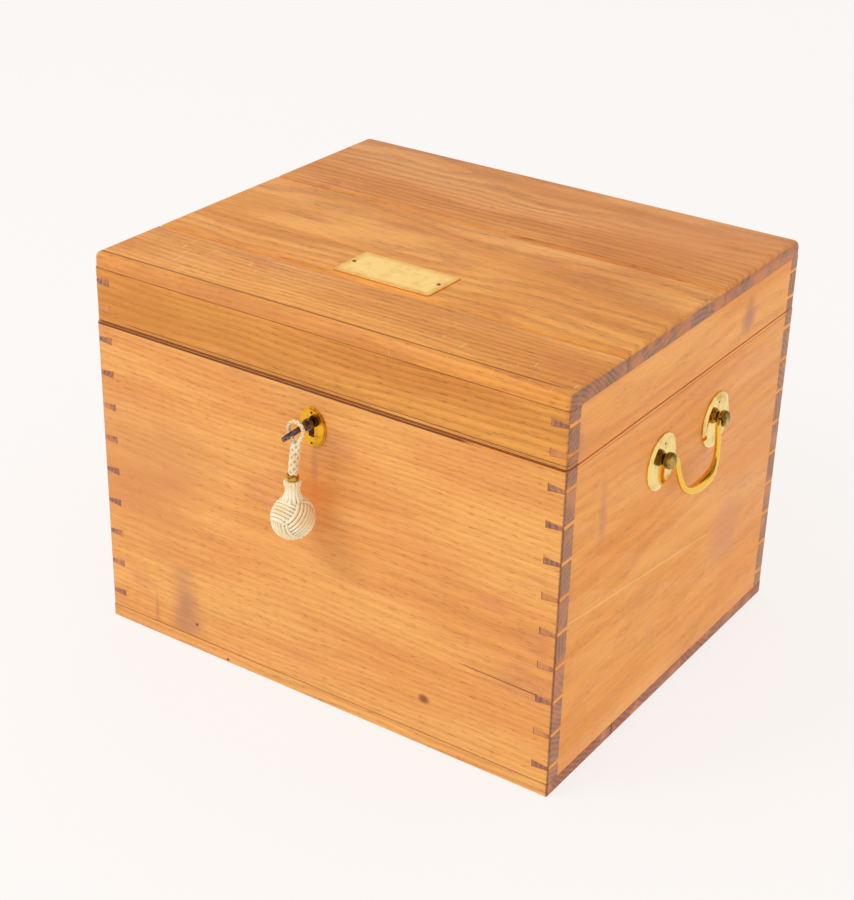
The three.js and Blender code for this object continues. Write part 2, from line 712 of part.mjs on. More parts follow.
function bail(side) {
  const x = side * (halfWidth + pivotStand);
  const reach = handlePostSpacing / 2;
  const pinEnd = reach - postHeadRadius + bailPinDepth;
  const along = (y, z) => new THREE.Vector3(x, handleCentreY + y, postAxisZ + z);
  const shoulder = reach - bailShoulder;
  const path = new THREE.CurvePath();
  path.add(new THREE.LineCurve3(along(-pinEnd, 0), along(-shoulder - bailCornerRun, 0)));
  path.add(new THREE.QuadraticBezierCurve3(
    along(-shoulder - bailCornerRun, 0), along(-shoulder, 0),
    along(-shoulder + bailCornerLean, -bailCornerDrop)));
  path.add(new THREE.CubicBezierCurve3(along(-shoulder + bailCornerLean, -bailCornerDrop),
    along(-shoulder + bailBend, -bailDrop * bailBendShare),
    along(-shoulder * bailBottomShare, -bailDrop),
    along(0, -bailDrop)));
  path.add(new THREE.CubicBezierCurve3(along(0, -bailDrop),
    along(shoulder * bailBottomShare, -bailDrop),
    along(shoulder - bailBend, -bailDrop * bailBendShare),
    along(shoulder - bailCornerLean, -bailCornerDrop)));
  path.add(new THREE.QuadraticBezierCurve3(
    along(shoulder - bailCornerLean, -bailCornerDrop), along(shoulder, 0),
    along(shoulder + bailCornerRun, 0)));
  path.add(new THREE.LineCurve3(along(shoulder + bailCornerRun, 0), along(pinEnd, 0)));
  const swell = (t) => Math.exp(-(((t - 0.5) / bailGripLengthShare) ** bailGripEdge));
  const arm = (t) => (Math.min(t, 1 - t) * path.getLength() < bailPinDepth + bailCornerRun
    ? bailPinRadius : bailArmRadius);
  const across = (t) => arm(t)
    + (bailGripRadius * bailGripFlatShare - bailArmRadius) * swell(t);
  const outwardHalf = (t) => arm(t) + (bailGripRadius - bailArmRadius) * swell(t);
  const hanging = swept(path, new THREE.Vector3(1, 0, 0), across, outwardHalf, 44, 10);
  // At rest it leans out from the board a little
  return hanging.translate(-x, 0, -postAxisZ).rotate(0, -side * bailTiltDegrees, 0)
    .translate(x, 0, postAxisZ);
}

for (const side of [-1, 1]) {
  const hand = side < 0 ? "left" : "right";
  for (const end of [-1, 1]) {
    const place = `${hand}_${end < 0 ? "front" : "rear"}`;
    const y = handleCentreY + end * handlePostSpacing / 2;
    const bore = rod("y", [side * (halfWidth + pivotStand), postAxisZ], bailBoreRadius,
      y, y - end * (postHeadRadius + cutOverrun), 16);
    const rose = turnedAlongX(roseProfile, side, side * halfWidth, y, roseCentreZ);
    const postHole = rod("x", [y, postAxisZ], postShankRadius + fitGap,
      side * (halfWidth - cutOverrun), side * (halfWidth + roseThickness + cutOverrun));
    piece(`handle_rose_${place}`, rose.subtract(postHole), brass);
    piece(`handle_post_${place}`,
      turnedAlongX(postHeadProfile, side, side * halfWidth, y, postAxisZ).subtract(bore), brass);
  }
  piece(`handle_bail_${hand}`, bail(side), brass);
}

// The gimbal and all that the bowl holds are sized outward and inward from the bowl's radius
const ringInner = bowlRadius + ringClearance;
const ringOuter = ringInner + ringWidth;
const bearerInner = ringOuter + ringSideSpace;
const ringPinEnd = bearerInner - ringPinSpace;
const bowlInner = bowlRadius - bowlWall;
const bowlLedgeRadius = bowlInner - bowlLedgeWidth;
const bezelOuter = bowlRadius + bezelOverhang;
const bezelInner = bowlInner - bezelCover;
const glassRadius = bezelInner + glassSeatWidth;
const dialRadius = bowlInner - dialClearance;
const lowerPlateRadius = bowlLedgeRadius - lowerPlateClearance;

// Bearers: two oak partitions from front to back that carry the gimbal brackets
for (const side of [-1, 1]) {
  const hand = side < 0 ? "left" : "right";
  const near = side * bearerInner;
  const far = side * (bearerInner + bearerThickness);
  piece(`gimbal_bearer_${hand}`, box(near, far,
    -innerDepth, innerDepth, baseThickness, gimbalZ + bearerRise), oak);
  const plateNear = side * (bearerInner - bracketThickness);
  const bossEnd = side * (bearerInner - bracketThickness - bracketBossLength);
  const bracket = box(near, plateNear,
    -bracketHalfWidth, bracketHalfWidth, gimbalZ - bracketBelow, gimbalZ + bracketAbove)
    .add(rod("x", [0, gimbalZ], bracketBossRadius,
      plateNear + side * cutOverrun, bossEnd))
    .subtract(rod("x", [0, gimbalZ], ringPinRadius + fitGap,
      bossEnd - side * cutOverrun, side * (ringPinEnd + fitGap)));
  piece(`gimbal_bracket_${hand}`, bracket, brass);
}

// Gimbal ring: it tilts on two pins along X and carries the bowl on two screws along Y
let gimbalRing = turned([
  [ringInner, -ringHalfHeight], [ringOuter, -ringHalfHeight], [ringOuter, ringHalfHeight],
  [ringInner, ringHalfHeight], [ringInner, -ringHalfHeight],
], 0, 0, gimbalZ, 36);
for (const side of [-1, 1]) {
  const root = side * (ringInner + ringOuter) / 2;
  const tip = side * ringPinEnd;
  gimbalRing = gimbalRing
    .add(rod("x", [0, gimbalZ], ringPinRadius, root, tip, 20))
    .subtract(rod("y", [0, gimbalZ], pivotScrewRadius + fitGap,
      side * (ringInner - cutOverrun), side * (ringOuter + cutOverrun), 20));
}
piece("gimbal_ring", gimbalRing, brass);

const bossFace = bowlRadius + bowlBossStand;
for (const side of [-1, 1]) {
  const place = side < 0 ? "front" : "rear";
  const tip = side * (bossFace - pivotTipDepth);
  const seat = side * (ringOuter + fitGap);
  const head = side * (ringOuter + fitGap + pivotScrewHeadLength);
  piece(`bowl_pivot_screw_${place}`,
    rod("y", [0, gimbalZ], pivotScrewRadius, tip, head, 20)
      .add(rod("y", [0, gimbalZ], pivotScrewHead, seat, head, 20)),
    steel);
}

// Bowl: a turned brass cup with an inner ledge for the movement and two pivot bosses
let bowl = turned([
  [0, bowlBottom], [bowlRadius - bowlCorner, bowlBottom],
  [bowlRadius - bowlCorner * bowlCornerShare, bowlBottom + bowlCorner * bowlCornerShare],
  [bowlRadius, bowlBottom + bowlCorner], [bowlRadius, bowlTop], [bowlInner, bowlTop],
  [bowlInner, bowlLedgeTop], [bowlLedgeRadius, bowlLedgeTop],
  [bowlLedgeRadius, bowlLedgeTop - bowlLedgeThickness],
  [bowlInner, bowlLedgeTop - bowlLedgeThickness - (bowlInner - bowlLedgeRadius)],
  [bowlInner, bowlBottom + bowlCorner], [bowlInner - bowlCorner + bowlWall, bowlBottom + bowlWall],
  [0, bowlBottom + bowlWall],
], 0, 0, gimbalZ, 36);
for (const side of [-1, 1]) {
  const root = side * (bowlInner + bowlWall / 2);
  const face = side * bossFace;
  const floor = side * (bossFace - pivotTipDepth - fitGap);
  bowl = bowl
    .add(rod("y", [0, gimbalZ], bowlBossRadius, root, face, 24))
    .subtract(rod("y", [0, gimbalZ], pivotScrewRadius + fitGap,
      floor, face + side * cutOverrun, 20));
}
piece("bowl", bowl, brass);

const bezelSeat = bowlTop + fitGap;
const glassSeat = bezelSeat + bezelLip;
piece("bezel", turned([
  [bezelInner, bezelSeat], [bowlRadius + fitGap, bezelSeat], [bowlRadius + fitGap, bezelSkirtBottom],
  [bezelOuter, bezelSkirtBottom], [bezelOuter, bezelTop - bezelSlope],
  [bezelOuter - bezelSlope, bezelTop], [glassRadius + fitGap + bezelSlope, bezelTop],
  [glassRadius + fitGap, bezelTop - bezelSlope], [glassRadius + fitGap, glassSeat],
  [bezelInner, glassSeat], [bezelInner, bezelSeat],
], 0, 0, gimbalZ, 36), brass);

piece("bezel_glass", turned([
  [0, glassSeat + fitGap], [glassRadius, glassSeat + fitGap],
  [glassRadius, glassSeat + fitGap + glassEdge],
  ...glassCrownShares.map(([across, rise]) =>
    [glassRadius * across, glassSeat + fitGap + glassEdge + glassCrown * rise]),
], 0, 0, gimbalZ, 36), crystal);

// Plates, counted down from the ledge in the bowl
const topPlateBottom = bowlLedgeTop + fitGap;
const topPlateTop = topPlateBottom + topPlateThickness;
const dialBottom = topPlateTop + fitGap;
const dialTop = dialBottom + dialThickness;
const lowerPlateTop = topPlateBottom - plateSpace;
const lowerPlateBottom = lowerPlateTop - lowerPlateThickness;
const arborBottom = lowerPlateBottom + endShake;
const trainFloor = lowerPlateTop + endShake;
const pipeRadius = arborRadius + fitGap + pipeWall;
const pillarCircle = lowerPlateRadius - pillarInset;

const onPlate = (share) => share * lowerPlateRadius;
const [barrelX, barrelY] = barrelPlaceShares.map(onPlate);
const barrelRadius = onPlate(barrelSizeShare);
const [fuseeX, fuseeY] = fuseePlaceShares.map(onPlate);
const fuseeLargeRadius = onPlate(fuseeLargeShare);
const fuseeSmallRadius = onPlate(fuseeSmallShare);
const centreWheelRadius = onPlate(centreWheelShare);
const secondsY = onPlate(secondsPlaceShare);
const secondsWheelRadius = onPlate(secondsWheelShare);
const balanceY = onPlate(balancePlaceShare);
const balanceRadius = onPlate(balanceSizeShare);
const upDownY = onPlate(upDownPlaceShare);

const arborPlaces = [[barrelX, barrelY], [fuseeX, fuseeY], [0, 0], [0, secondsY], [0, balanceY]];
const throughPlaces = [[0, 0, pipeRadius], [0, secondsY, arborRadius], [0, upDownY, arborRadius]];

function platePierced(plate, z0, z1) {
  return arborPlaces.reduce((body, [x, y]) => body.subtract(
    rod("z", [x, y], arborRadius + fitGap, z0 - cutOverrun, z1 + cutOverrun, 12)), plate);
}

let lowerPlate = rod("z", [0, 0], lowerPlateRadius, lowerPlateBottom, lowerPlateTop, 36);
for (let corner = 0; corner < 4; corner += 1) {
  const angle = (corner + 0.5) * Math.PI / 2;
  lowerPlate = lowerPlate.add(rod("z",
    [pillarCircle * Math.cos(angle), pillarCircle * Math.sin(angle)], pillarRadius,
    lowerPlateTop - cutOverrun, topPlateBottom - fitGap, 12));
}
const raise = (body) => body.translate(0, 0, gimbalZ);
piece("pillar_plate", raise(platePierced(lowerPlate, lowerPlateBottom, lowerPlateTop)), brass);

let topPlate = platePierced(
  rod("z", [0, 0], dialRadius, topPlateBottom, topPlateTop, 36), topPlateBottom, topPlateTop);
let dial = rod("z", [0, 0], dialRadius, dialBottom, dialTop, 36);
for (const [x, y, radius] of throughPlaces) {
  const hole = rod("z", [x, y], radius + fitGap, topPlateBottom - cutOverrun, dialTop + cutOverrun, 12);
  dial = dial.subtract(hole);
  topPlate = topPlate.subtract(hole);
}
piece("top_plate", raise(topPlate), brass);
piece("dial", raise(dial), silver);

// Mainspring barrel and fusee
function arbor(x, y, z0, z1) {
  return rod("z", [x, y], arborRadius, z0, z1, 10);
}

const arborTop = topPlateTop - endShake;
piece("mainspring_barrel", raise(
  rod("z", [barrelX, barrelY], barrelRadius, trainFloor, trainFloor + barrelHeight, 24)
    .add(arbor(barrelX, barrelY, arborBottom, arborTop))), brass);

const fuseeProfile = [[0, 0], [fuseeLargeRadius + fuseeGroove, 0],
  [fuseeLargeRadius + fuseeGroove, fuseeWheelThickness]];
for (let turn = 0; turn < fuseeTurns; turn += 1) {
  const share = turn / (fuseeTurns - 1);
  const radius = fuseeLargeRadius + (fuseeSmallRadius - fuseeLargeRadius) * share ** fuseeCurveShare;
  const height = fuseeWheelThickness + turn * fuseeTurnPitch;
  fuseeProfile.push([radius - fuseeGroove, height + fuseeGrooveShare * fuseeTurnPitch]);
  fuseeProfile.push([radius, height + (1 - fuseeGrooveShare) * fuseeTurnPitch]);
  fuseeProfile.push([radius, height + fuseeTurnPitch]);
}
fuseeProfile.push([0, fuseeWheelThickness + fuseeTurns * fuseeTurnPitch]);
piece("fusee", turned(fuseeProfile, fuseeX, fuseeY, gimbalZ + trainFloor, 18)
  .add(raise(arbor(fuseeX, fuseeY, arborBottom, arborTop))), brass);

// Crossed-out toothed wheels on their arbors
function toothedWheel(x, y, radius, teeth, z0, z1, arborFrom, arborTo) {
  const points = [];
  for (let tooth = 0; tooth < teeth; tooth += 1) {
    for (const [share, tip] of toothShares) {
      const angle = ((tooth + share) / teeth) * 2 * Math.PI;
      const reach = radius - (1 - tip) * toothHeight;
      points.push([x + reach * Math.cos(angle), y + reach * Math.sin(angle)]);
    }
  }
  const shape = outline(points);
  const outer = radius - toothHeight - wheelRim;
  for (let spoke = 0; spoke < wheelSpokeCount; spoke += 1) {
    const from = (spoke / wheelSpokeCount) * 2 * Math.PI;
    const to = ((spoke + 1) / wheelSpokeCount) * 2 * Math.PI;
    const outerGap = spokeHalfWidth / outer;
    const innerGap = spokeHalfWidth / wheelHubRadius;
    const window = new THREE.Path();
    window.absarc(x, y, outer, from + outerGap, to - outerGap, false);
    window.absarc(x, y, wheelHubRadius, to - innerGap, from + innerGap, true);
    shape.holes.push(window);
  }
  return level(shape, z0, z1, 4).add(arbor(x, y, arborFrom, arborTo));
}

const smallHandZ = dialTop + handSpace;
const hourHandZ = smallHandZ + handThickness + handSpace;
const minuteHandZ = hourHandZ + handThickness + handSpace;
const minuteHandTop = minuteHandZ + handThickness;
const wheelLevel = topPlateBottom - endShake - 2 * wheelThickness;
piece("centre_wheel", raise(toothedWheel(0, 0, centreWheelRadius, centreToothCount,
  wheelLevel - wheelThickness, wheelLevel, arborBottom, minuteHandTop + handThickness)), brass);
piece("seconds_wheel", raise(toothedWheel(0, secondsY, secondsWheelRadius, secondsToothCount,
  wheelLevel - 4 * wheelThickness, wheelLevel - 3 * wheelThickness, arborBottom,
  smallHandZ + handThickness)), brass);

// Balance: two weighted rims on a cross bar
const balanceZ0 = lowerPlateTop + 3 * balanceThickness;
const balanceZ1 = balanceZ0 + balanceThickness;
let balance = turned([
  [balanceRadius - balanceRim, balanceZ0], [balanceRadius, balanceZ0],
  [balanceRadius, balanceZ1], [balanceRadius - balanceRim, balanceZ1],
  [balanceRadius - balanceRim, balanceZ0],
], 0, balanceY, 0, 24)
  .add(box(-balanceRadius + balanceRim / 2, balanceRadius - balanceRim / 2,
    balanceY - balanceRim / 2, balanceY + balanceRim / 2, balanceZ0, balanceZ1))
  .add(arbor(0, balanceY, arborBottom, arborTop));
for (const side of [-1, 1]) {
  balance = balance.add(rod("z", [0, balanceY + side * (balanceRadius + balanceWeightRadius / 2)],
    balanceWeightRadius, balanceZ0 - balanceThickness / 2, balanceZ1 + balanceThickness / 2, 16));
}
piece("balance", raise(balance), brass);

// Hands: a spade-pointed hour and minute hand and two plain small hands
function hand(x, y, length, width, tail, hubRadius, boreRadius, z0) {
  const root = width * spadeWidthShares.root;
  const neck = width * spadeWidthShares.neck;
  const barb = length * spadeShare / 2;
  const rootY = y + length * spadeHeightShares.root;
  const barbY = y + length * spadeHeightShares.barb;
  const neckY = y + length * spadeHeightShares.neck;
  const shape = outline([
    [x - width / 2, y - tail], [x + width / 2, y - tail], [x + root, rootY], [x + barb, barbY],
    [x + neck, neckY], [x, y + length],
    [x - neck, neckY], [x - barb, barbY], [x - root, rootY],
  ]);
  return level(shape, z0, z0 + handThickness)
    .add(rod("z", [x, y], hubRadius, z0, z0 + handThickness, 24))
    .subtract(rod("z", [x, y], boreRadius, z0 - cutOverrun, z0 + handThickness + cutOverrun, 20));
}

const hourHandLength = dialRadius * handLengthShares.hour;
const minuteHandLength = dialRadius * handLengthShares.minute;
const secondsHandLength = dialRadius * handLengthShares.seconds;
const upDownHandLength = dialRadius * handLengthShares.upDown;

function handAt(clockDegrees, x, y, body) {
  return raise(body.translate(-x, -y, 0).rotate(0, 0, -clockDegrees).translate(x, y, 0));
}

const hourPipe = rod("z", [0, 0], pipeRadius, dialBottom, hourHandZ + handThickness, 24)
  .subtract(rod("z", [0, 0], arborRadius + fitGap, dialBottom - cutOverrun,
    hourHandZ + handThickness + cutOverrun, 20));
piece("hour_hand", handAt(hourDegrees, 0, 0,
  hand(0, 0, hourHandLength, hourHandWidth, 0, handHubRadius, arborRadius + fitGap, hourHandZ)
    .add(hourPipe)), blueSteel);
piece("minute_hand", handAt(minuteDegrees, 0, 0,
  hand(0, 0, minuteHandLength, minuteHandWidth, 0, handHubRadius, arborRadius + fitGap,
    minuteHandZ)),
blueSteel);
piece("seconds_hand", handAt(secondsDegrees, 0, secondsY,
  hand(0, secondsY, secondsHandLength, smallHandWidth, secondsHandTail, smallHubRadius,
    arborRadius + fitGap, smallHandZ)),
blueSteel);
piece("up_down_hand", handAt(upDownDegrees, 0, upDownY,
  hand(0, upDownY, upDownHandLength, smallHandWidth, upDownHandTail, smallHubRadius,
    upDownBoreRadius, smallHandZ)
    .add(arbor(0, upDownY, topPlateBottom + endShake, smallHandZ + handThickness))), blueSteel);

export default part;
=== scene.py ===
# A boxed marine chronometer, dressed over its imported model: a waxed oak case with its lid shut,
# brass fittings, a steel key with a knotted cord fob, and the gimballed instrument inside.
# Metres. The front faces -Y, +Z is up, and the origin is the centre of the underside.
import json
import math

import bmesh
import bpy
from mathutils import Matrix, Vector

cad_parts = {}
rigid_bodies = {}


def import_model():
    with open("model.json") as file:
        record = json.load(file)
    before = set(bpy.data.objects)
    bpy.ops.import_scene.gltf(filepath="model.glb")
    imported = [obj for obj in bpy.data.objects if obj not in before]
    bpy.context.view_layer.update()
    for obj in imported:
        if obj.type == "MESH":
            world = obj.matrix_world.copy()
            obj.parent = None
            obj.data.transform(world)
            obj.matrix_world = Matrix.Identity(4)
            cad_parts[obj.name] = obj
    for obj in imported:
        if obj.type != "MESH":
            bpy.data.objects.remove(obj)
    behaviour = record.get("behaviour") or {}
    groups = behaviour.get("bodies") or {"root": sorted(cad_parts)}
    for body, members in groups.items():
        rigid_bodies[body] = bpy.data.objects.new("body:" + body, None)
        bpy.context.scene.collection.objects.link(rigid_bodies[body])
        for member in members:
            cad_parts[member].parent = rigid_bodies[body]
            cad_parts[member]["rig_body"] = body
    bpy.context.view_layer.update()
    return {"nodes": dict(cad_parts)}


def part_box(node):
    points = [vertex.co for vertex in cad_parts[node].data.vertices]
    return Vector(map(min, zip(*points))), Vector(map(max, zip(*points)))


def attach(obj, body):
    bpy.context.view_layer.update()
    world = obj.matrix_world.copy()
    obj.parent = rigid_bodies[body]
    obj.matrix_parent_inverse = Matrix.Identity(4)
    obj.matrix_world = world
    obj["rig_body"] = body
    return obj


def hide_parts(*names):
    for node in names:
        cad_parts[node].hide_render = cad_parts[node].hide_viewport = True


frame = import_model()
nodes = frame["nodes"]
scene = bpy.context.scene
mm = 0.001


# Camera: a long lens a metre off, a little above the near right corner, held level. Its place
# comes from a fit to the seven corners of the case that the photograph shows, and the lens is a
# trace longer than the fit gave, as the edges then meet the photograph's better all round.
camera_place = (0.5328, -0.8223, 0.6074)
camera_right = (0.82572, 0.56361, 0.02295)
camera_up = (-0.27467, 0.36620, 0.88907)
camera_back = (0.49268, -0.74043, 0.45719)
camera_data = bpy.data.cameras.new("camera")
camera_data.sensor_width = 36
camera_data.lens = 75.75
camera = bpy.data.objects.new("camera", camera_data)
camera_turn = Matrix((camera_right, camera_up, camera_back)).transposed()
camera.matrix_world = Matrix.Translation(camera_place) @ camera_turn.to_4x4()
scene.collection.objects.link(camera)
scene.camera = camera


# Studio: a pale paper floor under a white tent, with one broad soft lamp high on the left,
# as such objects are photographed for a sale. The floor keeps the object's faint shadow, and
# the tent is open to a dim ceiling, which shows only in polished metal.
def srgb(code):
    """An sRGB hex colour as the linear values that a shader takes."""
    parts = [int(code[start:start + 2], 16) / 255 for start in (1, 3, 5)]
    return [c / 12.92 if c <= 0.04045 else ((c + 0.055) / 1.055) ** 2.4 for c in parts] + [1.0]


def add(tree, kind, inputs=(), **settings):
    """Adds one node with its settings. Its inputs, in their order or by name, take a value, a
    socket, or a node, which stands for the first of its outputs that is in use."""
    made = tree.nodes.new(kind if "Node" in kind else "ShaderNode" + kind)
    for name, value in settings.items():
        setattr(made, name, value)
    for socket, value in inputs.items() if isinstance(inputs, dict) else enumerate(inputs):
        if isinstance(value, bpy.types.Node):
            value = next(output for output in value.outputs if output.enabled)
        if isinstance(value, bpy.types.NodeSocket):
            tree.links.new(value, made.inputs[socket])
        else:
            made.inputs[socket].default_value = value
    return made


def new_material(name):
    """An empty material and its node tree."""
    material = bpy.data.materials.new(name)
    material.use_nodes = True
    material.node_tree.nodes.clear()
    return material, material.node_tree


paper = "#fbf7f4"
floor_size = 14
floor_drop = 0.2 * mm
floor_own_light = 0.84
floor_tone = 0.17
tent_level = 0.8
ceiling_level = 0.26
ceiling_edge = (0.52, 0.74)
lamp_power = 11
lamp_size = 0.8
lamp_place = Vector((-0.75, -1.35, 1.5))
lamp_aim = Vector((0, 0, 0.1))
smooth = {"interpolation_type": "SMOOTHSTEP"}

world = bpy.data.worlds.new("white_tent")
world.use_nodes = True
tree = world.node_tree
tree.nodes.clear()
ray = add(tree, "LightPath")
seen = add(tree, "Math", (ray.outputs["Is Camera Ray"], ray.outputs["Is Transmission Ray"]),
           operation="MAXIMUM")
tent = add(tree, "Background", (srgb("#ffffff"), tent_level))
backdrop = add(tree, "Background", (srgb(paper), 1.0))
height = add(tree, "SeparateXYZ", (add(tree, "TexCoord").outputs["Generated"],))
shade = add(tree, "MapRange", (height.outputs[2], *ceiling_edge, 1.0, ceiling_level), **smooth)
ceiling = add(tree, "Background", (srgb("#fff6ea"), shade))
around = add(tree, "MixShader", (ray.outputs["Is Glossy Ray"], tent, ceiling))
sky = add(tree, "MixShader", (seen, around, backdrop))
add(tree, "OutputWorld", (sky,))
scene.world = world

lamp_data = bpy.data.lights.new("soft_lamp", "AREA")
lamp_data.shape = "SQUARE"
lamp_data.size = lamp_size
lamp_data.energy = lamp_power
lamp = bpy.data.objects.new("soft_lamp", lamp_data)
lamp.location = lamp_place
lamp.rotation_euler = (lamp_aim - lamp_place).to_track_quat("-Z", "Y").to_euler()
scene.collection.objects.link(lamp)

floor_material, tree = new_material("white_paper")
matt = add(tree, "BsdfDiffuse", ([floor_tone, floor_tone, floor_tone, 1],))
glow = add(tree, "Emission", (srgb(paper), floor_own_light))
add(tree, "OutputMaterial", (add(tree, "AddShader", (matt, glow)),))
floor_mesh = bpy.data.meshes.new("floor")
half = floor_size / 2
floor_mesh.from_pydata([(-half, -half, 0), (half, -half, 0), (half, half, 0), (-half, half, 0)],
                       [], [(0, 1, 2, 3)])
floor_mesh.materials.append(floor_material)
floor = bpy.data.objects.new("floor", floor_mesh)
floor.location.z = -floor_drop
scene.collection.objects.link(floor)

scene.view_settings.view_transform = "Standard"


# Fob cord: a plaited cotton cord that hangs in one loop through the key's bow, with both
# of its legs going down side by side through a brass bead into the knot.
def round_points(count, radius=1.0):
    """The places of a count of points round a circle."""
    return [(radius * math.cos(2 * math.pi * step / count),
             radius * math.sin(2 * math.pi * step / count)) for step in range(count)]


def as_mesh(name, mesh, sharp_degrees=None):
    """A finished and smoothed mesh from one in the making, sharp past an angle if one is given."""
    data = bpy.data.meshes.new(name)
    mesh.to_mesh(data)
    mesh.free()
    data.shade_smooth()
    if sharp_degrees is not None:
        data.set_sharp_from_angle(angle=math.radians(sharp_degrees))
    return data


def tube(name, centres, radius_at, sides, closed=False, swell=None):
    """A closed mesh tube along the centres, with a UV map of length by girth."""
    points = [Vector(c) for c in centres]
    count = len(points)
    mesh = bmesh.new()
    uv = mesh.loops.layers.uv.new("along")
    rings = []
    lengths = [0.0]
    across = None

    def at(index):
        return points[index % count if closed else min(max(index, 0), count - 1)]

    for index, point in enumerate(points):
        tangent = (at(index + 1) - at(index - 1)).normalized()
        if across is None:
            side = Vector((0, 1, 0)) if abs(tangent.y) < 0.9 else Vector((1, 0, 0))
            across = tangent.cross(side).normalized()
        across = (across - tangent * across.dot(tangent)).normalized()
        other = tangent.cross(across)
        if index:
            lengths.append(lengths[-1] + (point - points[index - 1]).length)
        ring = []
        for step, (c, s) in enumerate(round_points(sides)):
            out = radius_at(index / (count - 1))
            if swell:
                out += swell(lengths[-1], 2 * math.pi * step / sides)
            ring.append(mesh.verts.new(point + (across * c + other * s) * out))
        rings.append(ring)
    for row in range(count if closed else count - 1):
        low, high = rings[row], rings[(row + 1) % count]
        for step in range(sides):
            after = (step + 1) % sides
            face = mesh.faces.new((low[step], low[after], high[after], high[step]))
            places = ((row, step), (row, step + 1), (row + 1, step + 1), (row + 1, step))
            for loop, (up, round_by) in zip(face.loops, places):
                loop[uv].uv = (lengths[min(up, count - 1)], round_by / sides)
    if not closed:
        mesh.faces.new(rings[0][::-1])
        mesh.faces.new(rings[-1])
    return as_mesh(name, mesh)


def show(name, data, material, body, replaced=None):
    """Puts a finished mesh in the scene under its name, with its material, the body that it
    rides on, and the node that it stands in for."""
    made = bpy.data.objects.new(name, data)
    if material:
        data.materials.append(material)
    scene.collection.objects.link(made)
    if replaced:
        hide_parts(replaced)
    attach(made, body)
    return made


def curve_through(points, steps):
    """A smooth line through the points: centripetal Catmull-Rom, as the model's cord has."""
    ends = [points[0] * 2 - points[1]] + points + [points[-1] * 2 - points[-2]]
    line = []
    for index in range(1, len(ends) - 2):
        p0, p1, p2, p3 = ends[index - 1:index + 3]
        t1 = (p1 - p0).length ** 0.5
        t2 = t1 + (p2 - p1).length ** 0.5
        t3 = t2 + (p3 - p2).length ** 0.5
        for step in range(steps):
            t = t1 + (t2 - t1) * step / steps
            a1 = p0 * ((t1 - t) / t1) + p1 * (t / t1)
            a2 = p1 * ((t2 - t) / (t2 - t1)) + p2 * ((t - t1) / (t2 - t1))
            a3 = p2 * ((t3 - t) / (t3 - t2)) + p3 * ((t - t2) / (t3 - t2))
            b1 = a1 * ((t2 - t) / t2) + a2 * (t / t2)
            b2 = a2 * ((t3 - t) / (t3 - t1)) + a3 * ((t - t1) / (t3 - t1))
            line.append(b1 * ((t2 - t) / (t2 - t1)) + b2 * ((t - t1) / (t2 - t1)))
    line.append(points[-1].copy())
    return line


fob_hang = Vector((2.8567685, -146.3660606, 176.0099918)) * mm
cord_diameter = 2.1 * mm
cord_sides = 20
cord_steps = 12
cord_route = [
    (-3.55, 0, -28.8), (-3.2, 0, -25.2), (-2.8, 0, -21.6), (-2.4, 0, -18), (-2, 0, -14.5),
    (-1.65, 0, -11), (-1.45, 0, -8.2), (-1.6, 0, -6.2), (-2.4, 0, -4.3), (-3.65, 0, -2.1),
    (-4.5, 0, 0.2), (-4.1, 0, 2.6), (-2.5, 0, 4.5), (0.2, 0, 5.3), (2.9, 0, 4.5),
    (4.5, 0, 2.6), (4.9, 0, 0.2), (4, 0, -2.1), (2.7, 0, -4.3), (1.7, 0, -6.2),
    (1.2, 0, -8.2), (0.8, 0, -11), (0.4, 0, -14.5), (0, 0, -18), (-0.4, 0, -21.6),
    (-0.8, 0, -25.2), (-1.15, 0, -28.8),
]
plait_pairs = 2
plait_pitch = 2.6 * mm
plait_depth = 0.16 * mm


def plait(pairs, pitch, depth):
    """How far the crossing strands of a plaited cord stand out of its round."""
    def swell(along, angle):
        right = math.cos(pairs * angle + 2 * math.pi * along / pitch)
        left = math.cos(pairs * angle - 2 * math.pi * along / pitch)
        return depth * (max(right, left) - 1)
    return swell


# Cotton: matt off-white thread, gone cream with age. It scatters light softly and has a
# faint bloom at grazing angles from its loose fibres.
# Painted shade: the colour that the cotton is darkened towards down in the creases between its
# strands.
crease_shade_tone = "#b98a48"
cotton_fuzz = 0.15 * mm
times = {"operation": "MULTIPLY"}


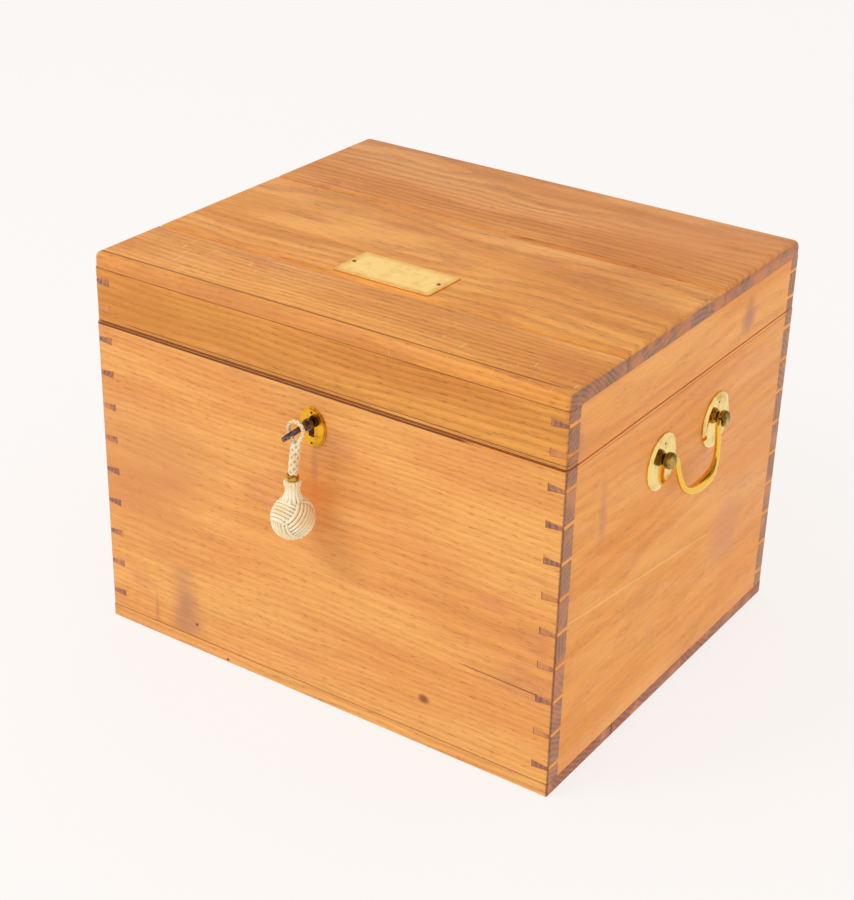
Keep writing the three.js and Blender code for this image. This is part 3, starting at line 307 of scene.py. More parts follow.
def cotton_material(name, tone, deep_tone, thread, middle=None, outer=None, lay=None):
    """Aged cotton, with painted shade down between its strands: those of a ball with a middle
    and a radius, or those of a plait with its pairs and pitch."""
    material, tree = new_material(name)
    place = add(tree, "TexCoord").outputs["Object"]
    grain = add(tree, "TexNoise", {"Vector": place, "Scale": 1 / thread, "Detail": 3.0,
                                   "Roughness": 0.6})
    age = add(tree, "TexNoise", {"Vector": place, "Scale": 1 / (9 * mm), "Detail": 2.0})
    worn = add(tree, "Math", (grain, age), **times)
    share = add(tree, "MapRange", (worn, 0.16, 0.36, 1.0, 0.0))
    colour = add(tree, "Mix", {0: share, 6: srgb(tone), 7: srgb(deep_tone)}, data_type="RGBA")
    # Painted shade in the creases: on the ball the deeper points go darker, on a plait the troughs
    # between the crossing strands.
    if middle:
        away = add(tree, "VectorMath", (place, middle), operation="DISTANCE")
        crease_shade = add(tree, "MapRange", (away, outer - 1.5 * mm, outer - 0.45 * mm, 0.7, 0.0),
                     **smooth)
    if lay:
        pairs, pitch = lay
        run = add(tree, "SeparateXYZ", (add(tree, "UVMap", uv_map="along"),))
        girth = add(tree, "Math", (run.outputs[1], 2 * math.pi * pairs), **times)
        length = add(tree, "Math", (run.outputs[0], 2 * math.pi / pitch), **times)
        right = add(tree, "Math", (girth, length), operation="ADD")
        left = add(tree, "Math", (girth, length), operation="SUBTRACT")
        crest = add(tree, "Math", (add(tree, "Math", (right,), operation="COSINE"),
                                   add(tree, "Math", (left,), operation="COSINE")),
                    operation="MAXIMUM")
        crease_shade = add(tree, "MapRange", (crest, -0.4, 0.4, 0.6, 0.0), **smooth)
    colour = add(tree, "Mix", {0: crease_shade, 6: colour, 7: srgb(crease_shade_tone)}, data_type="RGBA")
    rough = add(tree, "Bump", {"Height": grain, "Strength": 0.5, "Distance": cotton_fuzz})
    cloth = add(tree, "BsdfPrincipled", {
        "Base Color": colour, "Roughness": 0.9, "Sheen Weight": 0.25, "Sheen Roughness": 0.5,
        "Subsurface Weight": 0.12, "Subsurface Scale": 1.2 * mm, "Normal": rough})
    add(tree, "OutputMaterial", (cloth,))
    return material


cord_cotton = cotton_material("plaited_cotton", "#fff0d2", "#eccf98", 0.5 * mm,
                              lay=(plait_pairs, plait_pitch))
cord_line = curve_through([fob_hang + Vector(p) * mm for p in cord_route], cord_steps)
cord = show("fob_cord_plaited",
            tube("fob_cord_plaited", cord_line, lambda share: cord_diameter / 2, cord_sides,
                 swell=plait(plait_pairs, plait_pitch, plait_depth)),
            cord_cotton, "fob", "fob_cord")

# The two legs run down inside a plaited sleeve, from just under the eye to the bead. It is full
# along its length and drawn in at both ends.
sleeve_radius = 2.8 * mm
sleeve_draw = 0.16
sleeve_fullness = 10
sleeve_sides = 40
sleeve_steps = 22
sleeve_pairs = 4
sleeve_pitch = 4.4 * mm
sleeve_depth = 0.42 * mm
sleeve_route = [(-2.02, 0, -25.3), (-1.6, 0, -21.6), (-1.2, 0, -18), (-0.8, 0, -14.5),
                (-0.42, 0, -11), (-0.12, 0, -8.6), (0.02, 0, -6.7)]


def sleeve_girth(share):
    """The sleeve's radius at a share of its length."""
    return sleeve_radius * (1 - sleeve_draw * (abs(share - 0.5) * 2) ** sleeve_fullness)


sleeve_cotton = cotton_material("sleeve_cotton", "#fff2d6", "#efd3a0", 0.5 * mm,
                                lay=(sleeve_pairs, sleeve_pitch))
sleeve_line = curve_through([fob_hang + Vector(p) * mm for p in sleeve_route], sleeve_steps)
sleeve = show("fob_cord_sleeve",
              tube("fob_cord_sleeve", sleeve_line, sleeve_girth, sleeve_sides,
                   swell=plait(sleeve_pairs, sleeve_pitch, sleeve_depth)),
              sleeve_cotton, "fob")


# Knot: a globe knot worked in cotton line, three bands of parallel turns over a core that
# cross under one another, below a neck where the same turns run up side by side and flare.
knot_low, knot_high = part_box("fob_knot")
knot_radius = (knot_high.y - knot_low.y) / 2
knot_axis = Vector(((knot_low.x + knot_high.x) / 2, (knot_low.y + knot_high.y) / 2))
knot_centre = Vector((knot_axis.x, knot_axis.y, knot_low.z + knot_radius))
knot_cotton = cotton_material("cotton_line", "#fff6d8", "#f6d49c", 0.6 * mm, knot_centre,
                              knot_radius)
line_count = 8
line_pitch = 1.85 * mm
line_radius = 0.94 * mm
line_rise = 0.62 * mm
line_sides = 8
line_steps = 48
core_radius = 10.3 * mm
corner_aim = Vector((-0.25, -0.30, 0.92))
panel_turns = (125, 5, 245)


def knot_axes():
    """The directions of the three bands, from where the corner between them faces."""
    aim = (camera_turn @ corner_aim).normalized()
    right = (Vector(camera_right) - aim * aim.dot(Vector(camera_right))).normalized()
    up = aim.cross(right)
    axes = []
    for turn in panel_turns:
        angle = math.radians(turn)
        spread = right * math.cos(angle) + up * math.sin(angle)
        axes.append((aim / math.sqrt(3) + spread * math.sqrt(2 / 3)).normalized())
    return axes


def joined(name, meshes):
    """Several meshes as one."""
    mesh = bmesh.new()
    for data in meshes:
        mesh.from_mesh(data)
        bpy.data.meshes.remove(data)
    return as_mesh(name, mesh)


left_axis, right_axis, low_axis = knot_axes()
strands = []
for face, along in ((left_axis, right_axis), (right_axis, low_axis), (low_axis, left_axis)):
    beside = face.cross(along)
    for index in range(line_count):
        offset = (index - (line_count - 1) / 2) * line_pitch
        ring = []
        for step in range(line_steps):
            angle = 2 * math.pi * step / line_steps
            reach = knot_radius - line_radius - line_rise * (1 - math.cos(2 * angle))
            flat = math.sqrt(max(reach ** 2 - offset ** 2, 0))
            ring.append(knot_centre + beside * offset
                        + (face * math.cos(angle) + along * math.sin(angle)) * flat)
        strands.append(tube("strand", ring, lambda share: line_radius, line_sides, closed=True))

neck_count = 13
neck_line_radius = 0.95 * mm
neck_steps = 5
neck_profile = [(0.42, 5.1), (0.52, 5.6), (0.6, 4.7), (0.7, 4.1), (0.84, 4.0), (0.91, 4.6),
                (0.95, 4.9), (0.975, 4.5), (0.975, 2.9)]
neck_top = knot_high.z
neck_height = neck_top - knot_centre.z
for index in range(neck_count):
    angle = 2 * math.pi * (index + 0.5) / neck_count
    out = Vector((math.cos(angle), math.sin(angle), 0))
    line = [knot_centre + Vector((0, 0, neck_height * up)) + out * (wide * mm - neck_line_radius)
            for up, wide in neck_profile]
    strands.append(tube("strand", curve_through(line, neck_steps),
                        lambda share: neck_line_radius, line_sides))

core = bmesh.new()
bmesh.ops.create_icosphere(core, subdivisions=3, radius=core_radius,
                           matrix=Matrix.Translation(knot_centre))
strands.append(as_mesh("core", core))
knot = show("fob_globe_knot", joined("fob_globe_knot", strands), knot_cotton, "fob",
            "fob_knot")


# Bead: a short turned brass bead that gathers the two legs of the cord above the knot.
# It was parted off a rod, so it is bright with a rounded edge at both ends.
def lathe(name, profile, centre=(0, 0, 0), sides=32):
    """A turned upright solid: the profile is a list of (radius, height), closed on the axis."""
    mesh = bmesh.new()
    rings = []
    for radius, height in profile:
        ring = [(0, 0)] if radius < 1e-7 else round_points(sides, radius)
        rings.append([mesh.verts.new(Vector(centre) + Vector((x, y, height))) for x, y in ring])
    for low, high in zip(rings, rings[1:]):
        for step in range(sides):
            after = (step + 1) % sides
            corners = [low[step % len(low)], low[after % len(low)],
                       high[after % len(high)], high[step % len(high)]]
            mesh.faces.new(list(dict.fromkeys(corners)))
    bmesh.ops.recalc_face_normals(mesh, faces=mesh.faces)
    return as_mesh(name, mesh, sharp_degrees=40)


# Metal: clouds of tarnish over a ground that was polished or filed. Where it is toned it is
# duller too, and a fine bump of scratches or pits keeps its gloss from looking moulded.
def metal_surface(tree, place, share, tone, toned, dullness, scratch, strength,
                  depth=0.05 * mm, coat=0.0):
    """The end of a metal's tree: its two tones and its dullness by the share that is toned."""
    rubbed = add(tree, "TexNoise", {"Vector": place, "Scale": 1 / scratch, "Detail": 2.0})
    colour = add(tree, "Mix", {0: share, 6: srgb(tone), 7: srgb(toned)}, data_type="RGBA")
    dull = add(tree, "MapRange", (share, 0.0, 1.0, *dullness))
    fine = add(tree, "Bump", {"Height": rubbed, "Strength": strength, "Distance": depth})
    metal = add(tree, "BsdfPrincipled", {
        "Base Color": colour, "Metallic": 1.0, "Roughness": dull, "Coat Weight": coat,
        "Coat Roughness": 0.15, "Normal": fine})
    add(tree, "OutputMaterial", (metal,))


# Brass: turned or cast, polished and lacquered long ago. It is bright and warm, with finer
# scratches from cleaning, and the lacquer has toned to brown where hands do not rub it.
def brass_material(name, tone, toned, roughness, toning, patch):
    material, tree = new_material(name)
    place = add(tree, "TexCoord").outputs["Object"]
    cloud = add(tree, "TexNoise", {"Vector": place, "Scale": 1 / patch, "Detail": 4.0,
                                   "Roughness": 0.62})
    share = add(tree, "MapRange", (cloud, 0.52 - toning, 0.78 - toning))
    metal_surface(tree, place, share, tone, toned, (roughness, min(roughness + 0.22, 0.7)),
                  0.4 * mm, 0.12, coat=0.15)
    return material


bead_brass = brass_material("bead_brass", "#e0ad48", "#7a4d18", 0.25, 0.08, 2 * mm)
bead_radius = 3.5 * mm
bead_height = 4.0 * mm
bead_gap = 0.15 * mm
bead_profile = [(0, 0), (0.62, 0), (0.86, 0.1), (1.0, 0.34), (1.0, 0.66), (0.86, 0.9),
                (0.62, 1.0), (0, 1)]
bead = show("fob_bead",
            lathe("fob_bead", [(r * bead_radius, h * bead_height) for r, h in bead_profile],
                  (knot_axis.x, knot_axis.y, neck_top + bead_gap)), bead_brass, "fob")


# Oak boards: riven and planed English oak, waxed for a century. Long grain is honey brown
# with darker bands of open pores; end grain on the pins and board ends drinks in more dirt,
# so it shows purple-brown. Arrises are softened by handling, most of all round the lid.
case_low, case_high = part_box("lid_top_front_board")
half_width = case_high.x
half_depth = -case_low.y
case_top = case_high.z
base_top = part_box("base_front_board")[1].z
seam_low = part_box("case_front")[1].z
seam_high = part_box("lid_front")[0].z
lid_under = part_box("lid_front")[1].z
touch = 0.02 * mm
weld = 0.002 * mm
big_edge_degrees = 60
small_edge_degrees = 25


def softened(node, small, big=0.0, is_big=None, sharp_degrees=32):
    """A copy of a node's mesh, joined up, with its big arrises rounded and its small ones eased."""
    mesh = bmesh.new()
    mesh.from_mesh(nodes[node].data)
    bmesh.ops.remove_doubles(mesh, verts=mesh.verts, dist=weld)
    bmesh.ops.dissolve_limit(mesh, angle_limit=math.radians(1), verts=mesh.verts, edges=mesh.edges)
    bmesh.ops.recalc_face_normals(mesh, faces=mesh.faces)

    def bevel(size, degrees, segments, chosen=lambda a, b: True):
        edges = [e for e in mesh.edges
                 if len(e.link_faces) == 2 and e.calc_face_angle() > math.radians(degrees)
                 and chosen(*(v.co for v in e.verts))]
        bmesh.ops.bevel(mesh, geom=edges, offset=size, segments=segments, profile=0.5,
                        affect="EDGES", clamp_overlap=segments == 1)

    if big:
        bevel(big, big_edge_degrees, 4, is_big)
    if small:
        bevel(small, small_edge_degrees, 1)
    return as_mesh(node + "_dressed", mesh, sharp_degrees)


def on_corner(a, b):
    """An upright edge at an outer corner of the case."""
    return all(abs(abs(p.x) - half_width) < touch and abs(abs(p.y) - half_depth) < touch
               for p in (a, b)) and abs(a.z - b.z) > touch


def on_rim(a, b, z):
    """An edge round the outside of the case at a height."""
    level = abs(a.z - z) < touch and abs(b.z - z) < touch
    side = all(abs(abs(p.x) - half_width) < touch for p in (a, b))
    front = all(abs(abs(p.y) - half_depth) < touch for p in (a, b))
    return level and (side or front)


# Oak as a material: rings round a distant heart give straight bands on a board's edge and
# flame figure on its face. Pores are 0.3 mm wide in life, and drawn 0.8 mm wide to show.
ring_pitch = 3.1 * mm
pore_length, pore_width = 6.5 * mm, 0.8 * mm
fibre_length, fibre_width = 15 * mm, 0.7 * mm
streak_length, streak_width = 90 * mm, 3.5 * mm
speck_size = 1.1 * mm
wander = 15 * mm
mark_fade = 12 * mm
dirt_from, dirt_to = 1.3 * mm, 0.5 * mm
edge_dirt = "#7a3f1c"
fleck_tone = "#f0bd83"


def oak_material(name, along, heart, seed, tones, ends, flecks, figure, marks, stains_and_shadows):
    """Waxed oak with its grain along x or y, and its heart at a place across the grain. The
    tones are pale, middle, dark and stained, and the end grain's are pale and dark."""
    material, tree = new_material(name)
    coordinates = add(tree, "TexCoord")
    place = coordinates.outputs["Object"]
    turn = (0, 0, 0) if along == "x" else (0, 0, -math.pi / 2)
    local = add(tree, "Mapping", {"Vector": place, "Rotation": turn})
    facing = add(tree, "Mapping", {"Vector": coordinates.outputs["Normal"], "Rotation": turn})
    shifted = add(tree, "VectorMath", (local, (seed * 0.37, 0, 0)), operation="ADD")

    def cloud(length, width, offset, detail=2.0, roughness=0.5, distortion=0.0):
        """A pattern drawn out along the grain, in its own part of the noise."""
        drawn = add(tree, "Mapping", {
            "Vector": shifted, "Location": (offset + seed, offset * 1.7, seed * 2.3),
            "Scale": (1 / length, 1 / width, 1 / width)})
        return add(tree, "TexNoise", {"Vector": drawn, "Scale": 1.0, "Detail": detail,
                                      "Roughness": roughness, "Distortion": distortion})

    # The rings: how far each point is from the heart, which wanders along the board.
    bend = add(tree, "VectorMath", (cloud(150 * mm, 45 * mm, 3.1).outputs["Color"],
                                    (0.5, 0.5, 0.5)), operation="SUBTRACT")
    bend = add(tree, "VectorMath", (bend, (0, wander, wander)), **times)
    grown = add(tree, "VectorMath", (shifted, bend), operation="ADD")
    grown = add(tree, "VectorMath", (grown, (0, *heart)), operation="SUBTRACT")
    grown = add(tree, "VectorMath", (grown, (0, 1, 1)), **times)
    radius = add(tree, "VectorMath", (grown,), operation="LENGTH")
    phase = add(tree, "Math", (radius, ring_pitch), operation="DIVIDE")
    ring = add(tree, "Math", (phase,), operation="FRACT")
    early = add(tree, "Math", (add(tree, "MapRange", (ring, 0.0, 0.12), **smooth),
                               add(tree, "MapRange", (ring, 0.3, 0.75, 1.0, 0.0), **smooth)),
                **times)

    # Pores, most in the early wood, and the streaks and stains that run over the rings.
    fibre = cloud(fibre_length, fibre_width, 1.3, detail=3.0, roughness=0.6)
    pore = cloud(pore_length, pore_width, 5.7, detail=1.5)
    pore = add(tree, "MapRange", (pore, 0.57, 0.67), **smooth)
    porous = add(tree, "MapRange", (early, 0.0, 1.0, 0.55, 1.0), **smooth)
    pore = add(tree, "Math", (pore, porous), **times)
    streak = cloud(streak_length, streak_width, 9.1)
    slow = cloud(120 * mm, 26 * mm, 7.9, detail=3.0)
    stain = cloud(60 * mm, 34 * mm, 11.3, detail=3.0, roughness=0.65)

    share = add(tree, "MapRange", (slow, 0.35, 0.65), **smooth)
    body = add(tree, "Mix", {0: share, 6: srgb(tones[0]), 7: srgb(tones[1])}, data_type="RGBA")
    share = add(tree, "MapRange", (stain, 0.56, 0.72, 0.0, 0.6), **smooth)
    body = add(tree, "Mix", {0: share, 6: body, 7: srgb(tones[3])}, data_type="RGBA")
    dark = add(tree, "Math", (add(tree, "Math", (early, figure), **times),
                              add(tree, "Math", (pore, 0.3 if along == "y" else 0.4), **times)))
    share = add(tree, "MapRange", (streak, 0.4, 0.68, 0.0, 0.16), **smooth)
    dark = add(tree, "Math", (dark, share))
    share = add(tree, "MapRange", (fibre, 0.38, 0.66, 0.0, 0.17), **smooth)
    dark = add(tree, "Math", (dark, share), use_clamp=True)
    body = add(tree, "Mix", {0: dark, 6: body, 7: srgb(tones[2])}, data_type="RGBA")
    if flecks:
        ray_cell = cloud(2.2 * mm, 10 * mm, 13.7, detail=1.0, distortion=0.6)
        ray_cell = add(tree, "MapRange", (ray_cell, 0.66, 0.72, 0.0, flecks), **smooth)
        patch = add(tree, "MapRange", (cloud(55 * mm, 30 * mm, 17.1), 0.48, 0.62), **smooth)
        fleck = add(tree, "Math", (ray_cell, patch), **times)
        body = add(tree, "Mix", {0: fleck, 6: body, 7: srgb(fleck_tone)}, data_type="RGBA")

    # End grain: where the board faces along its own grain, speckled, and cleaner in patches.
    speck = cloud(speck_size, speck_size, 19.3, detail=3.0, roughness=0.7)
    speck = add(tree, "MapRange", (speck, 0.4, 0.62, 0.0, 0.5), **smooth)
    share = add(tree, "Math", (add(tree, "Math", (early, 0.55), **times), speck), use_clamp=True)
    end = add(tree, "Mix", {0: share, 6: srgb(ends[0]), 7: srgb(ends[1])}, data_type="RGBA")
    clean = add(tree, "TexNoise", {"Vector": place, "Scale": 1 / (13 * mm), "Detail": 3.0,
                                   "W": seed}, noise_dimensions="4D")
    clean = add(tree, "MapRange", (clean, 0.42, 0.66, 0.0, 0.7), **smooth)
    end = add(tree, "Mix", {0: clean, 6: end, 7: srgb(tones[3])}, data_type="RGBA")
    split = add(tree, "SeparateXYZ", (facing,))
    is_end = add(tree, "Math", (split.outputs[0],), operation="ABSOLUTE")
    is_end = add(tree, "MapRange", (is_end, 0.55, 0.8), **smooth)
    body = add(tree, "Mix", {0: is_end, 6: body, 7: end}, data_type="RGBA")

    # Stains and a painted shadow as ragged ovals, and marks, some painted seam shade, as thin lines
    # across one axis.
    spot = add(tree, "SeparateXYZ", (place,))
    for centre, reach, tone, strength in stains_and_shadows:
        near = add(tree, "Mapping", {"Vector": place, "Scale": [1 / r for r in reach],
                                     "Location": [-c / r for c, r in zip(centre, reach)]})
        near = add(tree, "VectorMath", (near,), operation="LENGTH")
        ragged = add(tree, "MapRange", (stain, 0.3, 0.7, -0.3, 0.3), **smooth)
        near = add(tree, "Math", (near, ragged))
        share = add(tree, "MapRange", (near, 0.1, 1.0, strength, 0.0), **smooth)
        body = add(tree, "Mix", {0: share, 6: body, 7: srgb(tone)}, data_type="RGBA")

    upright = add(tree, "Math", (split.outputs[2],), operation="ABSOLUTE")
    upright = add(tree, "MapRange", (upright, 0.4, 0.7, 1.0, 0.0), **smooth)
    for axis, at, slope, half_line, across, start, stop, depth, tone in marks:
        run = spot.outputs[across]
        lean = add(tree, "Math", (add(tree, "Math", (run, slope), **times), at))
        near = add(tree, "Math", (spot.outputs[axis], lean), operation="SUBTRACT")
        near = add(tree, "Math", (near,), operation="ABSOLUTE")
        shown = add(tree, "MapRange", (near, half_line, half_line * 2, 1.0, 0.0), **smooth)
        begun = add(tree, "MapRange", (run, start, start + mark_fade), **smooth)
        ended = add(tree, "MapRange", (run, stop - mark_fade, stop, 1.0, 0.0), **smooth)
        for share in (add(tree, "Math", (begun, ended), **times), depth) + (upright,) * (axis == 2):
            shown = add(tree, "Math", (shown, share), **times)
        body = add(tree, "Mix", {0: shown, 6: body, 7: srgb(tone)}, data_type="RGBA")

    # Dirt down the outer corners, and the wax's sheen over a grain that stands a little proud.
    by_corner = []
    for axis, edge in ((0, half_width), (1, half_depth)):
        out = add(tree, "Math", (spot.outputs[axis],), operation="ABSOLUTE")
        by_corner.append(add(tree, "MapRange", (out, edge - dirt_from, edge - dirt_to), **smooth))
    dirt = add(tree, "Math", by_corner, **times)
    grime = add(tree, "MapRange", (stain, 0.3, 0.6, 0.35, 0.75), **smooth)
    dirt = add(tree, "Math", (dirt, grime), **times)
    body = add(tree, "Mix", {0: dirt, 6: body, 7: srgb(edge_dirt)}, data_type="RGBA")
    relief = add(tree, "Math", (add(tree, "Math", (fibre, 0.4), **times), pore),
                 operation="SUBTRACT")
    grain = add(tree, "Bump", {"Height": relief, "Strength": 0.35, "Distance": 0.12 * mm})
    sheen = add(tree, "MapRange", (slow, 0.3, 0.7, 0.44, 0.58), **smooth)
    wood = add(tree, "BsdfPrincipled", {
        "Base Color": body, "Roughness": sheen, "Specular IOR Level": 0.3, "Coat Weight": 0.05,
        "Coat Roughness": 0.35, "Normal": grain})
    add(tree, "OutputMaterial", (wood,))
    return material


front_tones = ("#f9b35f", "#f0a254", "#b96c30", "#dd8c5c")
front_lid_tones = ("#f0a448", "#df903c", "#9f5c20", "#cb7f3a")
# Painted light: the side boards' tones are made brighter than the front's, to make up for the lamp
# lighting the sides less.
side_tones_painted_brighter = ("#ffb058", "#faa450", "#cf7d38", "#e99656")
top_tones = ("#fbac4e", "#ea9842", "#ad6124", "#dc8548")
rear_tones = ("#f0a24e", "#e08f43", "#a85a24", "#d37f47")
end_tones = ("#b98360", "#93654f")
lid_end_tones = ("#ad7d60", "#86604f")
base_end_tones = ("#b87048", "#8a503a")
pin_tones = ("#a9765c", "#7d5549")

boards = {
    # node: (grain, heart across the grain in mm, tones, flecks, figure)
    "case_front": ("x", (-95, 92), front_tones, 0.0, 0.15),
    "case_back": ("x", (95, 120), front_tones, 0.0, 0.2),
    "case_left_side": ("y", (-70, 60), side_tones_painted_brighter, 0.0, 0.18),
    "case_right_side": ("y", (160, 40), side_tones_painted_brighter, 0.0, 0.14),
    "lid_front": ("x", (-60, 150), front_lid_tones, 0.0, 0.24),
    "lid_back": ("x", (60, 180), front_lid_tones, 0.0, 0.24),
    "lid_left_side": ("y", (-90, 160), side_tones_painted_brighter, 0.0, 0.18),
    "lid_right_side": ("y", (90, 260), side_tones_painted_brighter, 0.0, 0.16),
    "lid_top_front_board": ("x", (-150, 180), top_tones, 0.6, 0.2),
    "lid_top_middle_board": ("x", (-10, 90), top_tones, 0.0, 0.24),
    "lid_top_rear_board": ("x", (120, 140), rear_tones, 0.0, 0.24),
    "base_front_board": ("x", (-60, 60), front_tones, 0.0, 0.25),
    "base_middle_board": ("x", (0, 70), front_tones, 0.0, 0.25),
    "base_rear_board": ("x", (80, 60), front_tones, 0.0, 0.25),
    "gimbal_bearer_left": ("y", (60, 70), side_tones_painted_brighter, 0.0, 0.18),
    "gimbal_bearer_right": ("y", (-60, 90), side_tones_painted_brighter, 0.0, 0.18),
}
corner_round = 1.4 * mm
lid_corner_round = 2.6 * mm
rim_round = 3.6 * mm
foot_round = 0.8 * mm
arris = 0.22 * mm
crack = "#5a2c10"
# Painted shade: the dark band along the seam where the lid shuts on the case, for the shadow down
# in the gap.
seam_gap_shade = "#64290a"
knot_dirt = "#5a3016"
joint = "#8a4c22"
top_joints = (-73.3 * mm, 32.4 * mm)
base_joints = (-59.4 * mm, 22.7 * mm)
base_marks = [(1, at, 0, 0.4 * mm, 2, -0.03, 0.04, depth, crack)
              for at, depth in zip(base_joints, (0.9, 0.7))]
top_mark = (1, top_joints[0], 0, 0.3 * mm, 0, -0.17, 0.17, 0.55, joint)
board_marks = {
    # (axis across, its place, slope, half its width, axis along, from, to, depth, tone)
    # The first mark on the lid front and the second on the case front are painted shade in the
    # seam's gap.
    "lid_front": [(2, seam_high + 0.3 * mm, 0, 0.35 * mm, 0, -0.2, 0.17, 0.9, seam_gap_shade),
                  (2, seam_high + 2.6 * mm, 0, 0.14 * mm, 0, -0.135, 0.16, 0.8, crack),
                  (2, lid_under - 0.2 * mm, 0, 0.22 * mm, 0, -0.17, 0.17, 0.9, crack)],
    "case_right_side": [(2, seam_low - 1.6 * mm, 0, 0.14 * mm, 1, -0.12, 0.13, 0.6, crack),
                        (2, 85.8 * mm, -0.127, 0.25 * mm, 1, -0.125, 0.045, 0.6, "#ffd08a")],
    "case_front": [(2, 63 * mm, -0.02, 0.18 * mm, 0, 0.09, 0.15, 0.8, crack),
                   (2, seam_low - 0.4 * mm, 0, 0.6 * mm, 0, -0.2, 0.1, 0.95, seam_gap_shade),
                   (2, base_top + 0.1 * mm, 0, 0.17 * mm, 0, -0.17, 0.16, 0.85, crack)],
    "base_front_board": [(2, base_top - 0.1 * mm, 0, 0.17 * mm, 0, -0.17, 0.16, 0.85, crack),
                         base_marks[0]],
    "base_middle_board": base_marks,
    "lid_top_front_board": [top_mark, (1, -half_depth + 4.4 * mm, 0.003, 0.5 * mm, 0, -0.17, 0.15,
                                       0.75, joint)],
    "lid_top_middle_board": [top_mark],
    "lid_top_rear_board": [(1, top_joints[1], 0, 0.3 * mm, 0, -0.17, 0.17, 0.4, joint)],
}
board_stains_and_shadows = {
    # (centre, reach, tone, strength)
    "case_front": [((0.0, -0.127, 0.146), (0.0035, 0.05, 0.016), "#b98058", 0.6),
                   ((-0.125, -0.127, 0.11), (0.075, 0.05, 0.08), "#d88c52", 0.6),
                   ((-0.094, -0.127, 0.026), (0.015, 0.05, 0.032), "#b97a58", 0.8),
                   ((-0.1155, -0.127, 0.017), (0.003, 0.05, 0.02), "#b5714a", 0.5),
                   ((-0.0855, -0.127, 0.017), (0.0011, 0.05, 0.0013), knot_dirt, 1.0),
                   # Painted shadow: the warm shade and glow that the fob's knot casts on the front
                   # board beside it.
                   ((-0.006, -0.127, 0.128), (0.02, 0.05, 0.03), "#dd7f2c", 0.6),
                   ((0.072, -0.127, 0.03), (0.004, 0.05, 0.003), "#8a4a22", 0.9),
                   ((0.128, -0.127, 0.06), (0.03, 0.05, 0.012), "#c97a52", 0.5)],
    "case_right_side": [((0.15, -0.088, 0.152), (0.05, 0.007, 0.026), "#cf8a62", 0.7),
                        ((0.15, 0.07, 0.07), (0.05, 0.03, 0.04), "#e09466", 0.6)],
    "lid_right_side": [((0.15, 0.066, 0.207), (0.05, 0.011, 0.016), "#b9785e", 0.75),
                       ((0.15, -0.118, 0.2), (0.05, 0.012, 0.016), "#bd8060", 0.6)],
    "lid_front": [((-0.1, -0.127, 0.205), (0.12, 0.05, 0.03), "#cd8430", 0.5)],
    "base_front_board": [((-0.063, -0.127, 0.002), (0.0011, 0.05, 0.0011), knot_dirt, 1.0)],
    "lid_top_front_board": [((-0.05, -0.128, 0.226), (0.2, 0.006, 0.02), "#cb8048", 0.6)],
    "lid_top_rear_board": [((0.1, 0.09, 0.231), (0.08, 0.05, 0.05), "#e08a48", 0.6)],
}
edge_rules = {
    # beginning of the node's name: (tones of its ends, big rounding, the edges that have it)
    "lid_top": (lid_end_tones, rim_round,
                lambda a, b: on_rim(a, b, case_top) or on_corner(a, b)),
    "lid": (None, lid_corner_round, on_corner),
    "base": (base_end_tones, foot_round, lambda a, b: on_rim(a, b, 0) or on_corner(a, b)),
    "case": (None, corner_round, on_corner),
    "gimbal": (None, 0.0, None),
}

for number, (node, (along, heart, tones, flecks, figure)) in enumerate(boards.items(), 1):
    ends, big, is_big = next(rule for start, rule in edge_rules.items() if node.startswith(start))
    material = oak_material("oak_" + node, along, [h * mm for h in heart], float(number), tones,
                            ends or (end_tones if along == "x" else pin_tones), flecks, figure,
                            board_marks.get(node, ()), board_stains_and_shadows.get(node, ()))
    show(node + "_oak", softened(node, arris, big, is_big), material, nodes[node]["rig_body"],
         node)


# Name plate: thin hard-rolled brass let onto the lid, bare, held by two slotted screws. Years
# of polish have left it pale in the middle and toned along its edges.
def finished(node, material, small=0.12 * mm, sharp_degrees=32):
    """Shows a node's own shape joined up and eased, in its material, in place of the node."""
    return show(node + "_finished", softened(node, small, sharp_degrees=sharp_degrees), material,
                nodes[node]["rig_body"], node)


head_steps = 10
foot_steps = 20
slot_share = 0.13
foot_share = 0.97


def screw_head(radius, rise):
    """A slotted screw head that stands a little out of its countersink, over a round foot."""
    mesh = bmesh.new()

    def stack(layers):
        layers = [[mesh.verts.new(spot) for spot in layer] for layer in layers]
        for low, high in zip(layers, layers[1:]):
            for k, first in enumerate(low):
                after = (k + 1) % len(low)
                mesh.faces.new((first, low[after], high[after], high[k]))
        mesh.faces.new(layers[-1])
        mesh.faces.new(layers[0][::-1])

    for side in (1, -1):
        layers = []
        for share, up in ((1.0, -rise), (1.0, 0.35 * rise), (0.86, rise)):
            reach = radius * share
            start = math.asin(radius * slot_share / reach)
            angles = [start + (math.pi - 2 * start) * k / head_steps for k in range(head_steps + 1)]
            layers.append([(reach * math.cos(angle), side * reach * math.sin(angle), up)
                           for angle in angles])
        stack(layers)
    stack([[(x, y, up) for x, y in round_points(foot_steps, radius * foot_share)]
           for up in (-1.1 * rise, -0.2 * rise)])
    bmesh.ops.recalc_face_normals(mesh, faces=mesh.faces)
    return as_mesh("screw_head", mesh)


